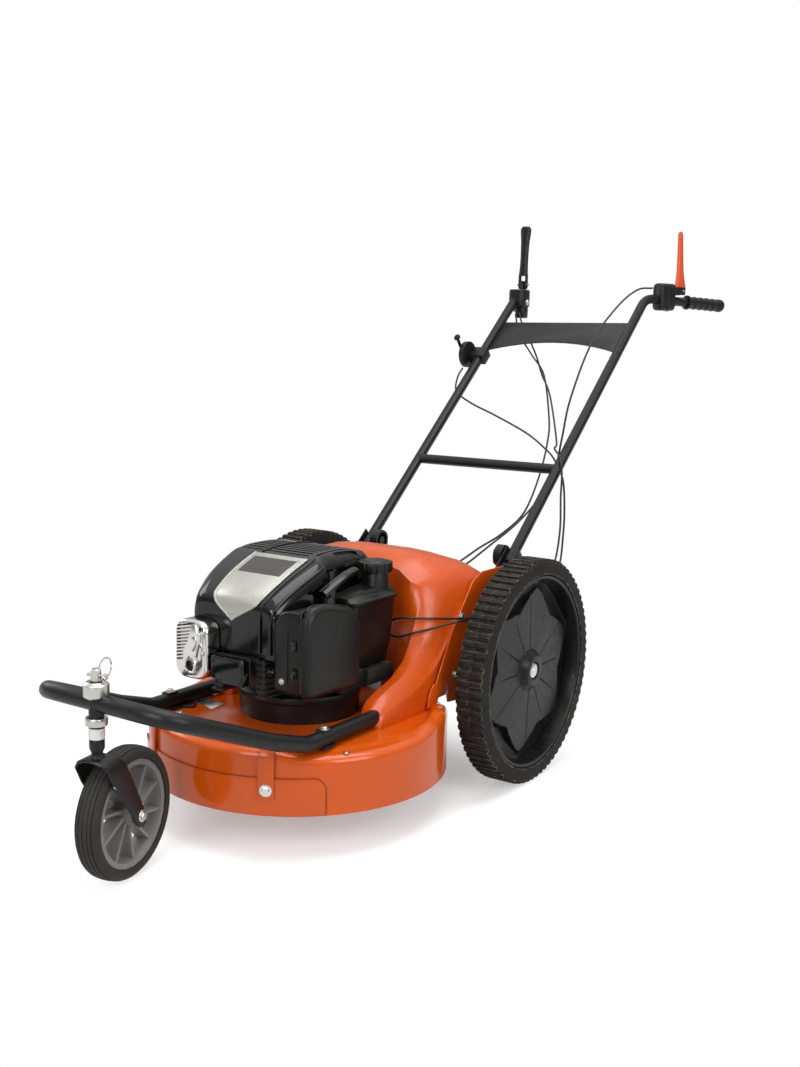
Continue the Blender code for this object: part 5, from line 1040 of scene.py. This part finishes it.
def make_rocker_cover():
    """The rocker cover, the cylinder's fins and the tank's foot."""
    outline = [(-41, 351.5), (33, 351.5), (36.5, 348), (37.2, 302), (34, 298.5), (-15, 298.5), (-34, 307),
               (-46, 324), (-48, 346), (-46, 350)]

    def box(rows):
        """A box through rows of (y, size of its outline)."""
        return lofted([[at(-4 + (x + 4) * size, y, 326 + (z - 326) * size) for x, z in outline]
                       for y, size in rows])

    rows = ((-611.5, 1), (-629, 1), (-632.2, 0.975), (-633.7, 0.93), (-634.2, 0.86))
    piece("rocker_box", box(rows), GLOSS, "rocker_cover", bevel=1.2)
    piece("rocker_flange", box(((-611, 1.03), (-614, 1.03))), BLACK_CAST, bevel=0.6)
    for k, (x, z) in enumerate(((-40, 343), (31.5, 345), (-20, 304.5), (31.5, 304.5))):
        bolt(f"cover_bolt_{k}", at(x, -633, z), FORWARD, 3.4, 2.6, 4.6, BLACK_CAST)
    fins = []
    for k in range(7):
        for x, wide, long in ((-56, 30, 80), (52, 22, 70)):
            fins.append(block((wide, long, 4.5), at(x, -564, 274 + 11.5 * k)))
    for x, wide, long in ((-56, 16, 76), (52, 12, 66)):
        fins.append(block((wide, long, 78), at(x, -562, 308.5)))
    piece("cylinder_fins", joined(*fins), BLACK_CAST, bevel=0.6)
    foot = [block((70, 100, 38), at(100, -400, 280.5)), block((60, 90, 34), at(118, -330, 282.5))]
    piece("tank_foot", joined(*foot), BLACK_CAST, bevel=3)


def make_filter_housing():
    """The air filter's housing, and the bolts of the engine's mounting ring."""
    rows = []
    for y, x0, e in ((-603, 89.5, 4.5), (-601.8, 88, 1.8), (-599, 87, 0), (-589, 93, 0), (-530, 100.2, 0),
                     (-500, 101.6, 0)):
        r = 36 - (x0 - 87) * 0.6
        left, right, low, high = x0 + e, 150 - e * 0.2, 298 + e, 455 - e
        bend = [(left + x, high + z) for x, z in corner(r, r, 8)]
        row = [(left, low + 6), *bend, (right, high), (right, low), (left + 6, low)]
        rows.append([at(x, y, z) for x, z in row])
    piece("filter_housing", lofted(rows), PLASTIC, "air_filter_base", smooth=30)
    seam = [(-601, 300), (-601.5, 440), (-583, 459), (-553, 464), (-468, 449), (-446, 434), (-434.5, 412)]
    bead_or_shade_line("filter_seam", curved([at(150.8, y, z) for y, z in seam], 4), 1.6, GLOSS)
    for k, z in enumerate((338, 392)):
        piece(f"filter_latch_{k}", block((12, 4, 20), at(138, -604, z)), GLOSS, bevel=1.2)
    piece("filter_rib", block((3.5, 3, 110), at(121, -603, 368)), PLASTIC, bevel=1)
    bolt("filter_screw", at(108, -603, 318), FORWARD, 4.5, 3.5, 6.5)
    for k, (x, y) in enumerate(((-117, -413), (83, -496), (-83, -496), (0, -531))):
        bolt(f"ring_bolt_{k}", at(x, y, 257.2), UP, 5.5, 5, 8.5)


def make_floor(light, glow):
    """A pale floor with the machine's shadow, which fades into the white background."""
    g = Graph(bpy.data.materials.new("floor"))
    colour = g.mix(g.noise(1.5), (0.8, 0.8, 0.8, 1), (0.82, 0.82, 0.82, 1))
    g.shade_with(Base_Color=colour, Roughness=0.9, Specular_IOR_Level=0.1)
    path = g.node("LightPath", out=None)
    glowing = g.node("Emission", {"Strength": g.maths("MULTIPLY", path["Is Camera Ray"], glow)})
    near = g.node("AddShader", {0: g.shader.outputs[0], 1: glowing})
    seen = g.maths("MAXIMUM", path["Is Camera Ray"], path["Is Glossy Ray"])
    far = g.node("Emission", {"Strength": g.ramp(seen, 0, 1, light, 1)})
    away = g.vector("LENGTH", "Value", g.vector("ADD", 0, g.place(), (0.02, 0.34, 0)))
    share = g.ramp(away, 0.32, 0.78, interpolation_type="SMOOTHSTEP")
    both = g.node("MixShader", {0: share, 1: near, 2: far})
    g.give(g.tree.nodes["Material Output"].inputs["Surface"], both)
    bm = bmesh.new()
    bmesh.ops.create_grid(bm, x_segments=2, y_segments=2, size=60)
    floor = linked("floor", mesh_of(bm, mend=False))
    floor.location.z = -0.0005
    give_material(floor, g.made)


WORLD_LIGHT = 0.44
LOW_GLOSS = 0.3
FLOOR_GLOW = 0.33

make_camera()
for node, (blend_from, blend_to, route) in CABLES.items():
    cable(node, blend_from, blend_to, route)
for made, bevel, *names in NODE_FINISH:
    for name in names:
        give_material(NODES[name], made)
        smoothed(NODES[name], bevel=bevel)
make_pan()
make_front_panel()
make_straps()
make_deck_hardware()
make_chassis_toes()
make_shroud()
make_shield()
make_muffler()
make_rocker_cover()
make_filter_housing()
make_front_frame()
make_grips()
make_levers()
make_left_clamp()
make_right_clamp()
for side, name in SIDES:
    make_wheel(side, name)
make_caster()

make_world(WORLD_LIGHT, LOW_GLOSS)
area_lamp("top_light", (0.3, -0.2, 3.2), (0, -0.1, 0.4), 2.4, 62)
area_lamp("side_light", (2.9, -1, 1.7), (0, -0.1, 0.4), 1.5, 36)
area_lamp("front_light", (0.5, -3.4, 1.7), (0, -0.3, 0.4), 1.4, 46)
area_lamp("far_light", (-2.8, -0.6, 1.8), (0, -0.2, 0.4), 1.4, 18)
make_floor(WORLD_LIGHT, FLOOR_GLOW)
SCENE.view_settings.view_transform = "Standard"
